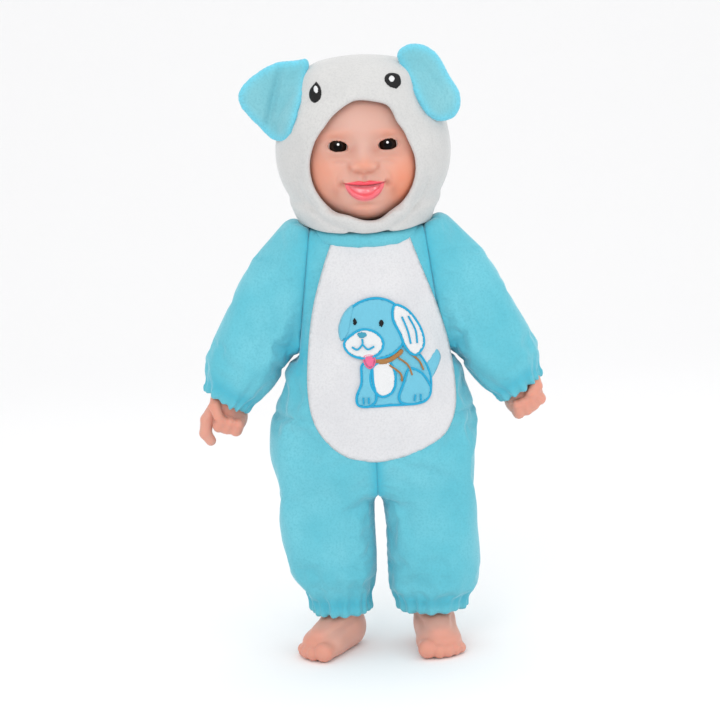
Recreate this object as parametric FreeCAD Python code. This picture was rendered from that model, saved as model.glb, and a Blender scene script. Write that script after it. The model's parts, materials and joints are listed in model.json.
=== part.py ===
import FreeCAD, Part
import os
import math

# Soft-bodied baby doll in a hooded plush puppy suit.  Millimetres, +Z up.
# The doll faces -Y and stands on its two vinyl feet at Z = 0.
# "left" and "right" are the doll's own: left is +X.

V = FreeCAD.Vector

# ---------------------------------------------------------------- dimensions
FRONT_SHIFT = -3.2          # moves the whole doll so its box is centred on Y = 0

PLUSH = 2.5                 # plush cloth thickness
SOFT_GAP = 0.4              # gap between neighbouring soft pieces

# trunk: (height, half width, half depth), hips to neck
TRUNK = [
    (184.0, 77.5, 50.0),
    (200.0, 75.5, 50.0),
    (215.0, 72.0, 49.5),
    (230.0, 65.5, 48.5),
    (245.0, 58.0, 47.5),
    (262.0, 48.5, 46.0),
    (280.0, 44.2, 43.5),
    (300.0, 43.6, 40.0),
    (318.0, 42.5, 36.0),
    (333.0, 36.0, 31.0),
]

# arm
SHOULDER_X = 50.0
SHOULDER_Z = 318.0
ARM_TILT = 31.0             # degrees out from hanging straight down
ARM_BALL = 27.0             # round top of the sleeve about the shoulder line
ARM_CUT_X = 47.0            # side plane where sleeve and trunk meet
# sleeve: (distance down the arm, radius)
SLEEVE = [
    (0.0, 27.0),
    (25.0, 26.5),
    (55.0, 27.0),
    (85.0, 27.5),
    (107.0, 27.0),
    (121.0, 24.0),
    (129.0, 20.0),
]
ARM_FILL_END = 98.0
WRIST_R = 8.5
WRIST_TOP = 100.0

# leg
HIP_X = 41.0
HIP_Z = 150.0
HIP_BALL = (38.0, 33.0)     # half width, radius about the hip line
# trouser: (height, half width, half depth)
TROUSER = [
    (34.0, 24.0, 23.0),
    (46.0, 28.0, 26.0),
    (62.0, 34.0, 30.5),
    (80.0, 37.5, 32.5),
    (100.0, 38.0, 33.0),
    (125.0, 38.0, 33.0),
    (150.0, 38.0, 33.0),
]
LEG_FILL_BOTTOM = 61.0
ANKLE_TOP = 60.0
ANKLE_R = 15.0
ANKLE_Z = 30.0
LEAN_RIGHT = 8.0            # the right ankle stands this much nearer the middle
SPLAY_RIGHT = 37.0          # toes turned out
SPLAY_LEFT = 6.0
# foot: (distance behind the ankle, centre height, half width, half height);
# the rows dip below the ground, where the sole is cut flat
FOOT_ROWS = [
    (21.0, 13.0, 7.0, 6.9),
    (16.0, 12.0, 12.8, 12.7),
    (6.0, 14.0, 16.0, 15.9),
    (-14.0, 12.4, 16.5, 14.3),
    (-28.0, 9.2, 18.0, 11.3),
    (-40.0, 6.4, 18.5, 8.4),
]
TOES = [(-11.5, -40.5, 7.6), (-2.5, -42.0, 6.0), (4.5, -41.0, 5.6),
        (10.5, -38.5, 5.2), (15.0, -34.5, 4.8)]      # (side, forward, radius), big toe first
TOE_SINK = 1.2

# belly panel and embroidered puppy, on the front of the trunk
PANEL_MID_Z = 222.0
PANEL_HALF_W = 54.5
PANEL_OUTLINE = (163.0, 340.0)
PANEL_CUT = (184.2, 321.5)
PANEL_REACH = 56.0          # the panel's outline is cut this far back
PUPPY_AT = (8.0, 248.0)
PUPPY_R = 34.0
COLLAR = (322.0, 332.2)

# neck and head
NECK_Z = 340.0
NECK_BALL = 23.5
HEAD_Z = 402.0
HEAD_R = 57.0               # half width and half depth of the vinyl head
HEAD_H = 62.0               # half height
HEAD_WALL = 4.0
HOOD_R = 68.0
HOOD_H = 73.0
FACE_HALF_W = 38.0
FACE_LOW = 347.0
FACE_HIGH = 437.0
# ear outlines: (side, height)
EAR_LEFT = [(30.0, 473.0), (45.0, 478.0), (60.0, 468.0), (71.0, 449.0),
            (75.0, 431.0), (68.0, 421.0), (56.0, 421.0), (44.0, 440.0)]
EAR_RIGHT = [(-42.0, 466.0), (-61.0, 469.0), (-80.0, 461.0), (-92.0, 444.0),
             (-88.0, 430.0), (-75.0, 415.0), (-60.0, 410.0), (-48.0, 430.0)]
EAR_LEFT_DEPTH = (-32.0, -18.0)
EAR_RIGHT_DEPTH = (-26.0, -10.0)
HOOD_EYE_LEFT = (26.0, 449.0)
HOOD_EYE_RIGHT = (-32.0, 444.0)
EYE_X = 18.5
EYE_Y = -48.0
EYE_Z = 404.0
EYE_R = 8.0
EYE_BACK = 4.0              # flat back, behind the ball's centre

# sound box in the back
BOX_HALF_W = 30.0
BOX_LOW = 190.0
BOX_HIGH = 258.0
BOX_FRONT = 8.0
BOX_SPLIT = 21.0
BOX_REAR = 34.7
BOX_WALL = 1.5
LUG_X = 33.0
LUG_ZS = (195.0, 253.0)
SCREW_R = 1.2

CELL_R = 5.25               # AAA size
CELL_LEN = 44.5
CELL_Y = 27.5
CELL_ZS = (200.5, 212.0, 223.5)

DOOR_HALF_W = 26.6
DOOR_LOW = 193.9
DOOR_HIGH = 230.1
DOOR_T = 1.5

SPEAKER_R = 16.0
SPEAKER_Z = 239.0
SWITCH_Z = 246.0
KNOB_START = -1.5

LUG_HALF = 3.0              # half width and half height of a screw lug
LUG_GAP = 0.05              # screw clearance, all round
MIC_X = 20.0
MIC_Z = 212.0
DOOR_SCREW_X = 22.0
DOOR_SCREW_R = 1.24
SCREW_HEAD_R = 2.3
MOTOR_Y = 14.6              # axis of the shaker motor
MOTOR_Z = 198.5
MOTOR_R = 4.0

# press switch behind the belly
PRESS_Z = 235.0
PRESS_BASE_Y = -38.0
PRESS_R = 14.0
PRESS_CAP_R = 10.0

PRESS_STEM_R = 3.0
WIRE_X = 1.5
WIRE_R = 0.8

# back flap
FLAP_X0 = -36.0
FLAP_X1 = 42.0
FLAP_Z0 = 187.0
FLAP_Z1 = 263.0
FLAP_IN = 2.7
FLAP_OUT = 5.0
STRIP = (34.0, 41.0, 190.0, 260.0)      # hook and loop strips: side, side, low, high


# ------------------------------------------------------------------- helpers
def box(x0, x1, y0, y1, z0, z1):
    return Part.makeBox(x1 - x0, y1 - y0, z1 - z0, V(x0, y0, z0))


def cyl(p, d, r, length):
    return Part.makeCylinder(r, length, V(*p), V(*d))


def ball(p, r):
    return Part.makeSphere(r, V(*p))


def egg(p, rx, ry, rz):
    m = FreeCAD.Matrix()
    m.scale(rx, ry, rz)
    s = Part.makeSphere(1.0).transformGeometry(m)
    s.translate(V(*p))
    return s


def spheroid(z, r, h):
    # taller than wide, turned about the Z axis
    oval = Part.Ellipse(V(0, 0, z + h), V(r, 0, z), V(0, 0, z))
    side = Part.ArcOfEllipse(oval, 0.0, math.pi).toShape()
    axis = Part.makeLine(V(0, 0, z - h), V(0, 0, z + h))
    face = Part.Face(Part.Wire([side, axis]))
    return face.revolve(V(0, 0, 0), V(0, 0, 1), 360.0)


def head_form(r, h):
    return spheroid(HEAD_Z, r, h)


def fuse(shapes):
    out = shapes[0]
    for s in shapes[1:]:
        out = out.fuse(s)
    return out.removeSplitter()


def ring(z, cx, cy, rx, ry):
    if abs(rx - ry) < 1e-6:
        edge = Part.Circle(V(cx, cy, z), V(0, 0, 1), rx).toShape()
    else:
        edge = Part.Ellipse(V(cx, cy, z), rx, ry).toShape()
    return Part.Wire([edge])


def loft(sections):
    return Part.makeLoft([ring(*s) for s in sections], True, False)


def trunk(offset):
    return loft([(z, 0.0, 0.0, a + offset, b + offset) for z, a, b in TRUNK])


def save(name, shape):
    s = shape.copy()
    s.translate(V(0.0, FRONT_SHIFT, 0.0))
    solids = s.Solids
    if not solids:
        raise RuntimeError("no solid in " + name)
    for one in solids:
        if not one.isValid():
            raise RuntimeError("bad solid in " + name)
    out = solids[0] if len(solids) == 1 else Part.makeCompound(solids)
    out.exportStep("parts/" + name + ".step")
    print(name, len(solids), round(sum(o.Volume for o in solids) / 1000.0, 2))


def mirrored(shape):
    return shape.mirror(V(0, 0, 0), V(1, 0, 0))


def both_sides(name, shape):
    save(name + "_left", shape)
    save(name + "_right", mirrored(shape))


def both_legs(name, make):
    # each leg leans by its own amount
    save(name + "_left", make(0.0))
    save(name + "_right", mirrored(make(LEAN_RIGHT)))


# -------------------------------------------------------------------- trunk
def box_room(gap):
    room = [box(-BOX_HALF_W - gap, BOX_HALF_W + gap, BOX_FRONT - gap,
                60.0, BOX_LOW - gap, BOX_HIGH + gap)]
    for side in (-1.0, 1.0):
        for z in LUG_ZS:
            room.append(box(side * LUG_X - 3.4, side * LUG_X + 3.4, 15.5, 26.0,
                            z - 3.8, z + 3.8))
    return room


def body_stuffing():
    s = trunk(-PLUSH - SOFT_GAP)
    s = s.cut(ball((0, 0, NECK_Z), NECK_BALL + 0.5))
    for room in box_room(0.5):
        s = s.cut(room)
    s = s.cut(cyl((0, -60.0, PRESS_Z), (0, 1, 0), PRESS_R + 0.6, 28.6))
    s = s.cut(cyl((0, -60.0, PRESS_Z), (0, 1, 0), 3.2, 70.0))
    return s


def suit_torso():
    s = trunk(0.0).cut(trunk(-PLUSH))
    window = box(-32.0, 32.0, 10.0, 70.0, BOX_LOW + 1.0, BOX_HIGH)
    return s.cut(window)


def egg_prism(z_mid, half_w, low, high, depth):
    # egg outline in the front plane: wide low down, narrow at the top
    pts = []
    n = 20
    for i in range(n):
        a = 2.0 * math.pi * i / n
        c = math.cos(a)
        z = z_mid + (high - z_mid) * c if c > 0 else z_mid + (z_mid - low) * c
        pts.append(V(half_w * math.sin(a), -depth, z))
    curve = Part.BSplineCurve()
    curve.interpolate(pts, PeriodicFlag=True)
    face = Part.Face(Part.Wire([curve.toShape()]))
    return face.extrude(V(0, PANEL_REACH, 0))


def belly_panel():
    skin = trunk(1.7).cut(trunk(0.2))
    top = box(-90.0, 90.0, -70.0, 0.0, PANEL_CUT[0], PANEL_CUT[1])
    outline = egg_prism(PANEL_MID_Z, PANEL_HALF_W, PANEL_OUTLINE[0], PANEL_OUTLINE[1], 70.0)
    return skin.common(outline).common(top)


def puppy_applique():
    skin = trunk(2.9).cut(trunk(1.9))
    disc = cyl((PUPPY_AT[0], -70.0, PUPPY_AT[1]), (0, 1, 0), PUPPY_R, 70.0)
    return skin.common(disc)


def collar_band():
    skin = trunk(2.7).cut(trunk(0.2))
    return skin.common(box(-60, 60, -60, 60, COLLAR[0], COLLAR[1]))


def flap_skin(inner, outer, x0, x1, z0, z1):
    skin = trunk(outer).cut(trunk(inner))
    return skin.common(box(x0, x1, 0.0, 70.0, z0, z1))


# ------------------------------------------------------------------ sound box
def lug(side, z, front, back):
    inner = side * (BOX_HALF_W - 1.0)
    outer = side * (LUG_X + LUG_HALF)
    return box(min(inner, outer), max(inner, outer), front, back, z - LUG_HALF, z + LUG_HALF)


def lug_hole(side, z):
    return cyl((side * LUG_X, 17.5, z), (0, 1, 0), SCREW_R + LUG_GAP, 9.0)


def box_front_shell():
    s = box(-BOX_HALF_W, BOX_HALF_W, BOX_FRONT, BOX_SPLIT, BOX_LOW, BOX_HIGH)
    for side in (-1.0, 1.0):
        for z in LUG_ZS:
            s = s.fuse(lug(side, z, 16.0, BOX_SPLIT))
    s = s.cut(box(-BOX_HALF_W + 2, BOX_HALF_W - 2, BOX_FRONT + 2, 30.0,
                  BOX_LOW + 2, BOX_HIGH - 2))
    for side in (-1.0, 1.0):
        for z in LUG_ZS:
            s = s.cut(lug_hole(side, z))
    # sound holes over the speaker, one for the microphone
    for i in range(6):
        a = math.radians(60.0 * i)
        p = (7.0 * math.cos(a), 7.0, SPEAKER_Z + 7.0 * math.sin(a))
        s = s.cut(cyl(p, (0, 1, 0), 1.3, 4.0))
    s = s.cut(cyl((0, 7.0, SPEAKER_Z), (0, 1, 0), 1.3, 4.0))
    return s.cut(cyl((MIC_X, 7.0, MIC_Z), (0, 1, 0), 1.0, 4.0))


def box_rear_shell():
    s = box(-BOX_HALF_W, BOX_HALF_W, BOX_SPLIT, BOX_REAR, BOX_LOW, BOX_HIGH)
    s = s.cut(box(-BOX_HALF_W + 2, BOX_HALF_W - 2, 20.0, BOX_REAR - BOX_WALL,
                  BOX_LOW + 2, BOX_HIGH - 2))
    rib = box(-BOX_HALF_W + 1, BOX_HALF_W - 1, 22.3, BOX_REAR - 1.0, 230.6, 231.9)
    floor = box(-BOX_HALF_W + 1, BOX_HALF_W - 1, 21.2, 21.9, BOX_LOW + 1, 231.9)
    wall = box(-BOX_HALF_W + 1, BOX_HALF_W - 1, 21.2, 22.6, 230.6, 231.9)
    s = fuse([s, rib, floor, wall])
    for side in (-1.0, 1.0):
        for z in LUG_ZS:
            s = s.fuse(lug(side, z, BOX_SPLIT, 23.0)).cut(lug_hole(side, z))
    gap = 0.3
    s = s.cut(box(-DOOR_HALF_W - gap, DOOR_HALF_W + gap, 33.0, 40.0,
                  DOOR_LOW - gap, DOOR_HIGH + gap))
    s = s.cut(box(-4.0, 4.0, 33.0, 40.0, SWITCH_Z - 1.8, SWITCH_Z + 1.8))
    return s


def battery_cells():
    out = []
    for z in CELL_ZS:
        can = cyl((-CELL_LEN / 2 + 1.0, CELL_Y, z), (1, 0, 0), CELL_R,
                  CELL_LEN - 1.0)
        nub = cyl((-CELL_LEN / 2, CELL_Y, z), (1, 0, 0), 1.9, 1.2)
        out.append(can.fuse(nub).removeSplitter())
    return Part.makeCompound(out)


def battery_contacts():
    out = []
    for z in CELL_ZS:
        plate = box(-24.2, -23.8, CELL_Y - 4.2, CELL_Y + 4.2, z - 4.5, z + 4.5)
        dimple = cyl((-23.9, CELL_Y, z), (1, 0, 0), 1.5, 1.6)
        out.append(plate.fuse(dimple))
        back = box(25.8, 26.2, CELL_Y - 4.2, CELL_Y + 4.2, z - 4.5, z + 4.5)
        cone = Part.makeCone(4.0, 2.2, 3.4, V(25.9, CELL_Y, z), V(-1, 0, 0))
        out.append(back.fuse(cone))
    return Part.makeCompound(out)


def circuit_board():
    s = box(-22.5, 22.5, 19.7, 20.9, 193.0, 255.0)
    s = s.fuse(box(-8.0, 8.0, 17.4, 19.8, 207.0, 219.0))
    s = s.fuse(box(-18.0, -12.0, 18.2, 19.8, 208.0, 214.0))
    s = s.fuse(cyl((14.0, 14.8, 222.0), (0, 1, 0), 2.5, 5.0))
    s = s.fuse(cyl((-16.0, 14.8, 220.0), (0, 1, 0), 2.5, 5.0))
    return s.removeSplitter()


def speaker_frame():
    y = (0, 1, 0)
    rim = cyl((0, 10.2, SPEAKER_Z), y, SPEAKER_R, 1.6)
    rim = rim.cut(cyl((0, 10.0, SPEAKER_Z), y, 13.8, 3.0))
    outer = Part.makeCone(14.8, 7.6, 4.4, V(0, 11.7, SPEAKER_Z), V(0, 1, 0))
    inner = Part.makeCone(13.8, 6.6, 4.4, V(0, 11.69, SPEAKER_Z), V(0, 1, 0))
    basket = outer.cut(inner)
    magnet = cyl((0, 16.0, SPEAKER_Z), y, 7.4, 3.3)
    return fuse([rim, basket, magnet])


def speaker_cone():
    outer = Part.makeCone(13.2, 4.0, 4.2, V(0, 10.9, SPEAKER_Z), V(0, 1, 0))
    inner = Part.makeCone(12.7, 3.5, 3.7, V(0, 10.89, SPEAKER_Z), V(0, 1, 0))
    return outer.cut(inner)


def shaker_motor():
    s = cyl((-14.0, MOTOR_Y, MOTOR_Z), (1, 0, 0), MOTOR_R, 15.0)
    return s.cut(cyl((-5.0, MOTOR_Y, MOTOR_Z), (1, 0, 0), 0.8, 10.0))


def eccentric_weight():
    # half a disc on the motor's shaft
    shaft = cyl((-4.0, MOTOR_Y, MOTOR_Z), (1, 0, 0), 0.75, 10.5)
    disc = cyl((2.5, MOTOR_Y, MOTOR_Z), (1, 0, 0), MOTOR_R - 0.1, 4.0)
    half = box(2.0, 7.0, MOTOR_Y - 4.6, MOTOR_Y + 5.4, MOTOR_Z + 0.8, MOTOR_Z + 6.5)
    return shaft.fuse(disc.cut(half)).removeSplitter()


def case_screws():
    out = []
    for side in (-1.0, 1.0):
        for z in LUG_ZS:
            shank = cyl((side * LUG_X, 18.0, z), (0, 1, 0), SCREW_R, 5.1)
            head = cyl((side * LUG_X, 23.05, z), (0, 1, 0), SCREW_HEAD_R, 1.5)
            slot = box(side * LUG_X - 1.8, side * LUG_X + 1.8, 24.0, 25.0,
                       z - 0.35, z + 0.35)
            out.append(shank.fuse(head).cut(slot).removeSplitter())
    return Part.makeCompound(out)


def battery_door():
    s = box(-DOOR_HALF_W, DOOR_HALF_W, BOX_REAR - DOOR_T, BOX_REAR,
            DOOR_LOW, DOOR_HIGH)
    return s.cut(cyl((DOOR_SCREW_X, 30.0, CELL_ZS[1]), (0, 1, 0), 1.3, 8.0))


def door_screw():
    x, y, z = DOOR_SCREW_X, BOX_REAR, CELL_ZS[1]
    s = cyl((x, y - DOOR_T, z), (0, 1, 0), DOOR_SCREW_R, DOOR_T)
    head = cyl((x, y + 0.02, z), (0, 1, 0), SCREW_HEAD_R, 1.2)
    neck = cyl((x, y - 0.2, z), (0, 1, 0), DOOR_SCREW_R, 0.4)
    slot = box(x - 1.8, x + 1.8, y + 0.7, y + 2.0, z - 0.35, z + 0.35)
    return fuse([s, neck, head]).cut(slot)


def switch_body():
    s = box(-6.5, 6.5, 26.5, 32.2, SWITCH_Z - 3.4, SWITCH_Z + 3.4)
    return s.cut(box(-4.2, 4.2, 30.2, 33.0, SWITCH_Z - 1.4, SWITCH_Z + 1.4))


def slide_switch_knob():
    x = KNOB_START
    foot = box(x - 2.0, x + 2.0, 30.5, 32.0, SWITCH_Z - 1.1, SWITCH_Z + 1.1)
    stem = box(x - 1.5, x + 1.5, 31.5, 36.4, SWITCH_Z - 1.1, SWITCH_Z + 1.1)
    return foot.fuse(stem).removeSplitter()


# --------------------------------------------------------------- press switch
def press_switch_base():
    y = (0, 1, 0)
    s = cyl((0, PRESS_BASE_Y, PRESS_Z), y, PRESS_R, 6.0)
    s = s.cut(cyl((0, PRESS_BASE_Y - 1, PRESS_Z), y, PRESS_STEM_R + 0.06, 6.0))
    pocket = cyl((0, PRESS_BASE_Y - 1, PRESS_Z), y, 6.5, 4.5)
    pocket = pocket.cut(cyl((0, PRESS_BASE_Y - 1, PRESS_Z), y, 4.2, 4.5))
    return s.cut(pocket)


def press_switch_spring():
    y = (0, 1, 0)
    out = []
    for i in range(3):
        c = V(0, PRESS_BASE_Y + 0.7 + 1.1 * i, PRESS_Z)
        out.append(Part.makeTorus(5.35, 0.35, c, V(*y)))
    post = cyl((5.35, PRESS_BASE_Y + 0.7, PRESS_Z), y, 0.3, 2.2)
    return fuse(out + [post])


def press_switch_cap():
    y = (0, 1, 0)
    disc = cyl((0, PRESS_BASE_Y - 5.5, PRESS_Z), y, PRESS_CAP_R, 3.0)
    stem = cyl((0, PRESS_BASE_Y - 3.0, PRESS_Z), y, PRESS_STEM_R, 5.0)
    return disc.fuse(stem).removeSplitter()


def switch_wires():
    out = []
    for x in (-WIRE_X, WIRE_X):
        out.append(cyl((x, PRESS_BASE_Y + 6.1, PRESS_Z), (0, 1, 0), WIRE_R, 39.7))
    return Part.makeCompound(out)


# -------------------------------------------------------------- neck and head
def neck_stuffing():
    s = ball((0, 0, NECK_Z), NECK_BALL)
    s = s.common(box(-40, 40, -40, 40, 300.0, 349.0))
    return s.fuse(cyl((0, 0, 341.0), (0, 0, 1), 18.0, 11.0)).removeSplitter()


def neck_disc():
    s = cyl((0, 0, 352.3), (0, 0, 1), 22.0, 3.0)
    return s.fuse(cyl((0, 0, 355.0), (0, 0, 1), 8.0, 3.0)).removeSplitter()


def face_mask(grow):
    return egg((0, -18.0, 381.0), 40.0 + grow, 39.0 + grow, 34.0 + grow)


def head_shell():
    s = head_form(HEAD_R, HEAD_H)
    s = s.fuse(face_mask(0.0))
    s = s.fuse(egg((0, -54.0, 388.0), 6.5, 8.0, 5.5))
    s = s.fuse(cyl((0, 0, 339.0), (0, 0, 1), 27.0, 12.0))
    s = s.cut(head_form(HEAD_R - HEAD_WALL, HEAD_H - HEAD_WALL))
    s = s.cut(cyl((0, 0, 330.0), (0, 0, 1), 24.3, 24.0))
    for side in (-1.0, 1.0):
        s = s.cut(ball((side * EYE_X, EYE_Y, EYE_Z), EYE_R + 0.2))
    return s


def eye(side):
    # ball with a flat back
    s = ball((side * EYE_X, EYE_Y, EYE_Z), EYE_R)
    return s.common(box(-60.0, 60.0, EYE_Y - 20.0, EYE_Y + EYE_BACK, 380.0, 430.0))


def neck_tie():
    s = cyl((0, 0, 341.0), (0, 0, 1), 28.8, 2.6)
    s = s.cut(cyl((0, 0, 340.0), (0, 0, 1), 27.2, 5.0))
    lug = box(-2.5, 2.5, 27.6, 32.0, 341.0, 343.6)
    return s.fuse(lug).removeSplitter()


def hood():
    s = head_form(HOOD_R, HOOD_H)
    s = s.cut(head_form(HEAD_R + 0.6, HEAD_H + 0.6))
    s = s.cut(face_mask(0.6))
    mid = 0.5 * (FACE_LOW + FACE_HIGH)
    half = 0.5 * (FACE_HIGH - FACE_LOW)
    wire = Part.Wire([Part.Ellipse(V(0, 0, 0), half, FACE_HALF_W).toShape()])
    wire.rotate(V(0, 0, 0), V(0, 0, 1), 90.0)
    wire.rotate(V(0, 0, 0), V(1, 0, 0), 90.0)
    wire.translate(V(0, -80.0, mid))
    s = s.cut(Part.Face(wire).extrude(V(0, 60.0, 0)))
    s = s.cut(box(-90, 90, -90, 90, 300.0, 341.0))
    return s.cut(cyl((0, 0, 330.0), (0, 0, 1), 33.0, 20.0))


def hood_eye(x, z):
    skin = head_form(HOOD_R + 1.3, HOOD_H + 1.3)
    skin = skin.cut(head_form(HOOD_R + 0.1, HOOD_H + 0.1))
    return skin.common(cyl((x, -90.0, z), (0, 1, 0), 6.0, 80.0))


def ear(outline, depth):
    front, back = depth
    # flat stuffed leaf, cut back to the hood
    curve = Part.BSplineCurve()
    curve.interpolate([V(x, front, z) for x, z in outline], PeriodicFlag=True)
    face = Part.Face(Part.Wire([curve.toShape()]))
    s = face.extrude(V(0, back - front, 0))
    s = s.cut(head_form(HOOD_R + 0.6, HOOD_H + 0.6))
    return max(s.Solids, key=lambda one: one.Volume)


# ----------------------------------------------------------------------- arms
def to_arm(shape):
    # local +Z runs down the left arm, local +X points outward from the body
    a = math.radians(ARM_TILT)
    m = FreeCAD.Matrix(math.cos(a), 0.0, math.sin(a), SHOULDER_X,
                       0.0, -1.0, 0.0, 0.0,
                       math.sin(a), 0.0, -math.cos(a), SHOULDER_Z,
                       0.0, 0.0, 0.0, 1.0)
    s = shape.copy()
    s.transformShape(m)
    return s


def sleeve_form(offset):
    # round body turned about the arm's own axis
    top = ARM_BALL + offset
    half = math.sqrt(0.5) * top
    dome = Part.Arc(V(0, 0, -top), V(half, 0, -half), V(top, 0, 0)).toShape()
    side = Part.BSplineCurve()
    side.interpolate([V(r + offset, 0, u) for u, r in SLEEVE])
    end_u, end_r = SLEEVE[-1]
    rim = Part.makeLine(V(end_r + offset, 0, end_u), V(0, 0, end_u))
    axis = Part.makeLine(V(0, 0, end_u), V(0, 0, -top))
    wire = Part.Wire([dome, side.toShape(), rim, axis])
    return Part.Face(wire).revolve(V(0, 0, 0), V(0, 0, 1), 360.0)


def outboard(shape, gap):
    return shape.common(box(ARM_CUT_X + gap, 220.0, -80, 80, 100.0, 400.0))


def sleeve():
    s = sleeve_form(0.0).cut(sleeve_form(-PLUSH))
    return outboard(to_arm(s), 0.0)


def arm_stuffing():
    s = sleeve_form(-PLUSH - SOFT_GAP)
    s = s.common(box(-60, 60, -60, 60, -40.0, ARM_FILL_END))
    return outboard(to_arm(s), 0.4)


def cuff_elastic():
    s = cyl((0, 0, 120.5), (0, 0, 1), 17.2, 5.0)
    return to_arm(s.cut(cyl((0, 0, 119.0), (0, 0, 1), 15.8, 9.0)))


def wrist_tube(length):
    s = cyl((0, 0, WRIST_TOP), (0, 0, 1), WRIST_R, length)
    groove = cyl((0, 0, 107.0), (0, 0, 1), WRIST_R + 2.0, 3.6)
    groove = groove.cut(cyl((0, 0, 106.0), (0, 0, 1), WRIST_R - 1.6, 6.0))
    return s.cut(groove)


def wrist_tie():
    s = cyl((0, 0, 107.4), (0, 0, 1), WRIST_R + 0.3, 2.8)
    return to_arm(s.cut(cyl((0, 0, 107.0), (0, 0, 1), WRIST_R - 1.2, 5.0)))


def capsule(p, q, r0, r1):
    a = V(*p)
    b = V(*q)
    d = b.sub(a)
    parts = [ball(p, r0), ball(q, r1)]
    if abs(r0 - r1) < 1e-6:
        parts.append(Part.makeCylinder(r0, d.Length, a, d))
    else:
        parts.append(Part.makeCone(r0, r1, d.Length, a, d))
    return fuse(parts)


def fist():
    s = wrist_tube(34.0)
    s = s.fuse(egg((-1.0, 0.0, 140.0), 15.5, 13.0, 14.5))
    for i in range(4):
        x = -10.5 + 6.8 * i
        s = s.fuse(capsule((x, 7.5, 148.0), (x, 13.0, 140.0), 4.4, 4.0))
    s = s.fuse(capsule((12.0, 6.0, 133.0), (5.0, 14.0, 138.0), 4.4, 4.0))
    return to_arm(s.cut(cyl((0, 0, 90.0), (0, 0, 1), 5.5, 40.0)))


def pointing_hand():
    s = wrist_tube(34.0)
    s = s.fuse(egg((-6.0, 0.0, 140.0), 16.0, 12.0, 15.0))
    s = s.fuse(capsule((5.0, 4.0, 146.0), (3.0, 5.0, 160.0), 5.2, 4.8))
    s = s.fuse(capsule((3.0, 5.0, 160.0), (-3.0, 7.0, 165.0), 4.8, 4.2))
    for i in range(3):
        x = -17.0 + 6.6 * i
        s = s.fuse(capsule((x, 5.5, 149.0), (x, 11.5, 142.0), 4.6, 4.0))
    s = s.fuse(capsule((8.0, 5.0, 133.0), (2.0, 13.0, 142.0), 4.4, 3.9))
    return to_arm(s.cut(cyl((0, 0, 90.0), (0, 0, 1), 5.5, 40.0)))


# ----------------------------------------------------------------------- legs
def leg_x(z, lean):
    # the leg's middle line runs straight from the hip to the ankle
    return HIP_X - lean * (HIP_Z - z) / (HIP_Z - ANKLE_Z)


def trouser_tube(offset, lean):
    return loft([(z, leg_x(z, lean), 0.0, a + offset, b + offset) for z, a, b in TROUSER])


def hip_dome(offset):
    s = egg((HIP_X, 0, HIP_Z), HIP_BALL[0] + offset, HIP_BALL[1] + offset,
            HIP_BALL[1] + offset)
    return s.common(box(-10, 100, -60, 60, HIP_Z, 200.0))


def trouser(lean):
    tube = trouser_tube(0.0, lean).cut(trouser_tube(-PLUSH, lean))
    dome = hip_dome(0.0).cut(hip_dome(-PLUSH))
    return tube.fuse(dome)


def leg_stuffing(lean):
    fill = -PLUSH - SOFT_GAP
    tube = trouser_tube(fill, lean).common(box(-10, 100, -60, 60, LEG_FILL_BOTTOM, 200.0))
    return tube.fuse(hip_dome(fill))


def ankle_elastic(lean):
    x = leg_x(40.0, lean)
    s = loft([(37.0, x, 0.0, 21.6, 20.6), (42.0, x, 0.0, 23.4, 22.0)])
    hole = loft([(36.0, x, 0.0, 19.8, 18.8), (43.0, x, 0.0, 21.8, 20.4)])
    return s.cut(hole)


def ankle_tie(lean):
    x = leg_x(ANKLE_Z, lean)
    s = cyl((x, 0, 50.6), (0, 0, 1), ANKLE_R + 0.2, 2.8)
    return s.cut(cyl((x, 0, 50.0), (0, 0, 1), ANKLE_R - 1.7, 5.0))


def foot():
    # points to -Y, ankle on the Z axis, big toe on the -X side
    s = loft([(y, 0.0, -zc, a, b) for y, zc, a, b in FOOT_ROWS])
    s.rotate(V(0, 0, 0), V(1, 0, 0), -90.0)
    s = s.fuse(cyl((0, 0, 18.0), (0, 0, 1), ANKLE_R, ANKLE_TOP - 18.0))
    for x, y, r in TOES:
        s = s.fuse(ball((x, y, r - TOE_SINK), r))
    # flat sole on the ground
    s = s.cut(box(-60, 60, -80, 60, -30.0, 0.0))
    s = s.cut(cyl((0, 0, 12.0), (0, 0, 1), ANKLE_R - 4.0, 60.0))
    groove = cyl((0, 0, 50.2), (0, 0, 1), ANKLE_R + 3.0, 3.6)
    groove = groove.cut(cyl((0, 0, 49.0), (0, 0, 1), ANKLE_R - 2.0, 6.0))
    return s.cut(groove)


def place_foot(shape, side, splay, lean):
    s = shape if side > 0 else mirrored(shape)
    s = s.copy()
    s.rotate(V(0, 0, 0), V(0, 0, 1), side * splay)
    s.translate(V(side * leg_x(ANKLE_Z, lean), 0, 0))
    return s


# ---------------------------------------------------------------------- build
os.makedirs("parts", exist_ok=True)

save("body_stuffing", body_stuffing())
save("suit_torso", suit_torso())
save("belly_panel", belly_panel())
save("puppy_applique", puppy_applique())
save("collar_band", collar_band())
save("loop_strip", flap_skin(0.2, 1.2, *STRIP))
save("hook_strip", flap_skin(1.5, 2.5, *STRIP))
save("back_flap", flap_skin(FLAP_IN, FLAP_OUT, FLAP_X0, FLAP_X1, FLAP_Z0, FLAP_Z1))

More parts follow.
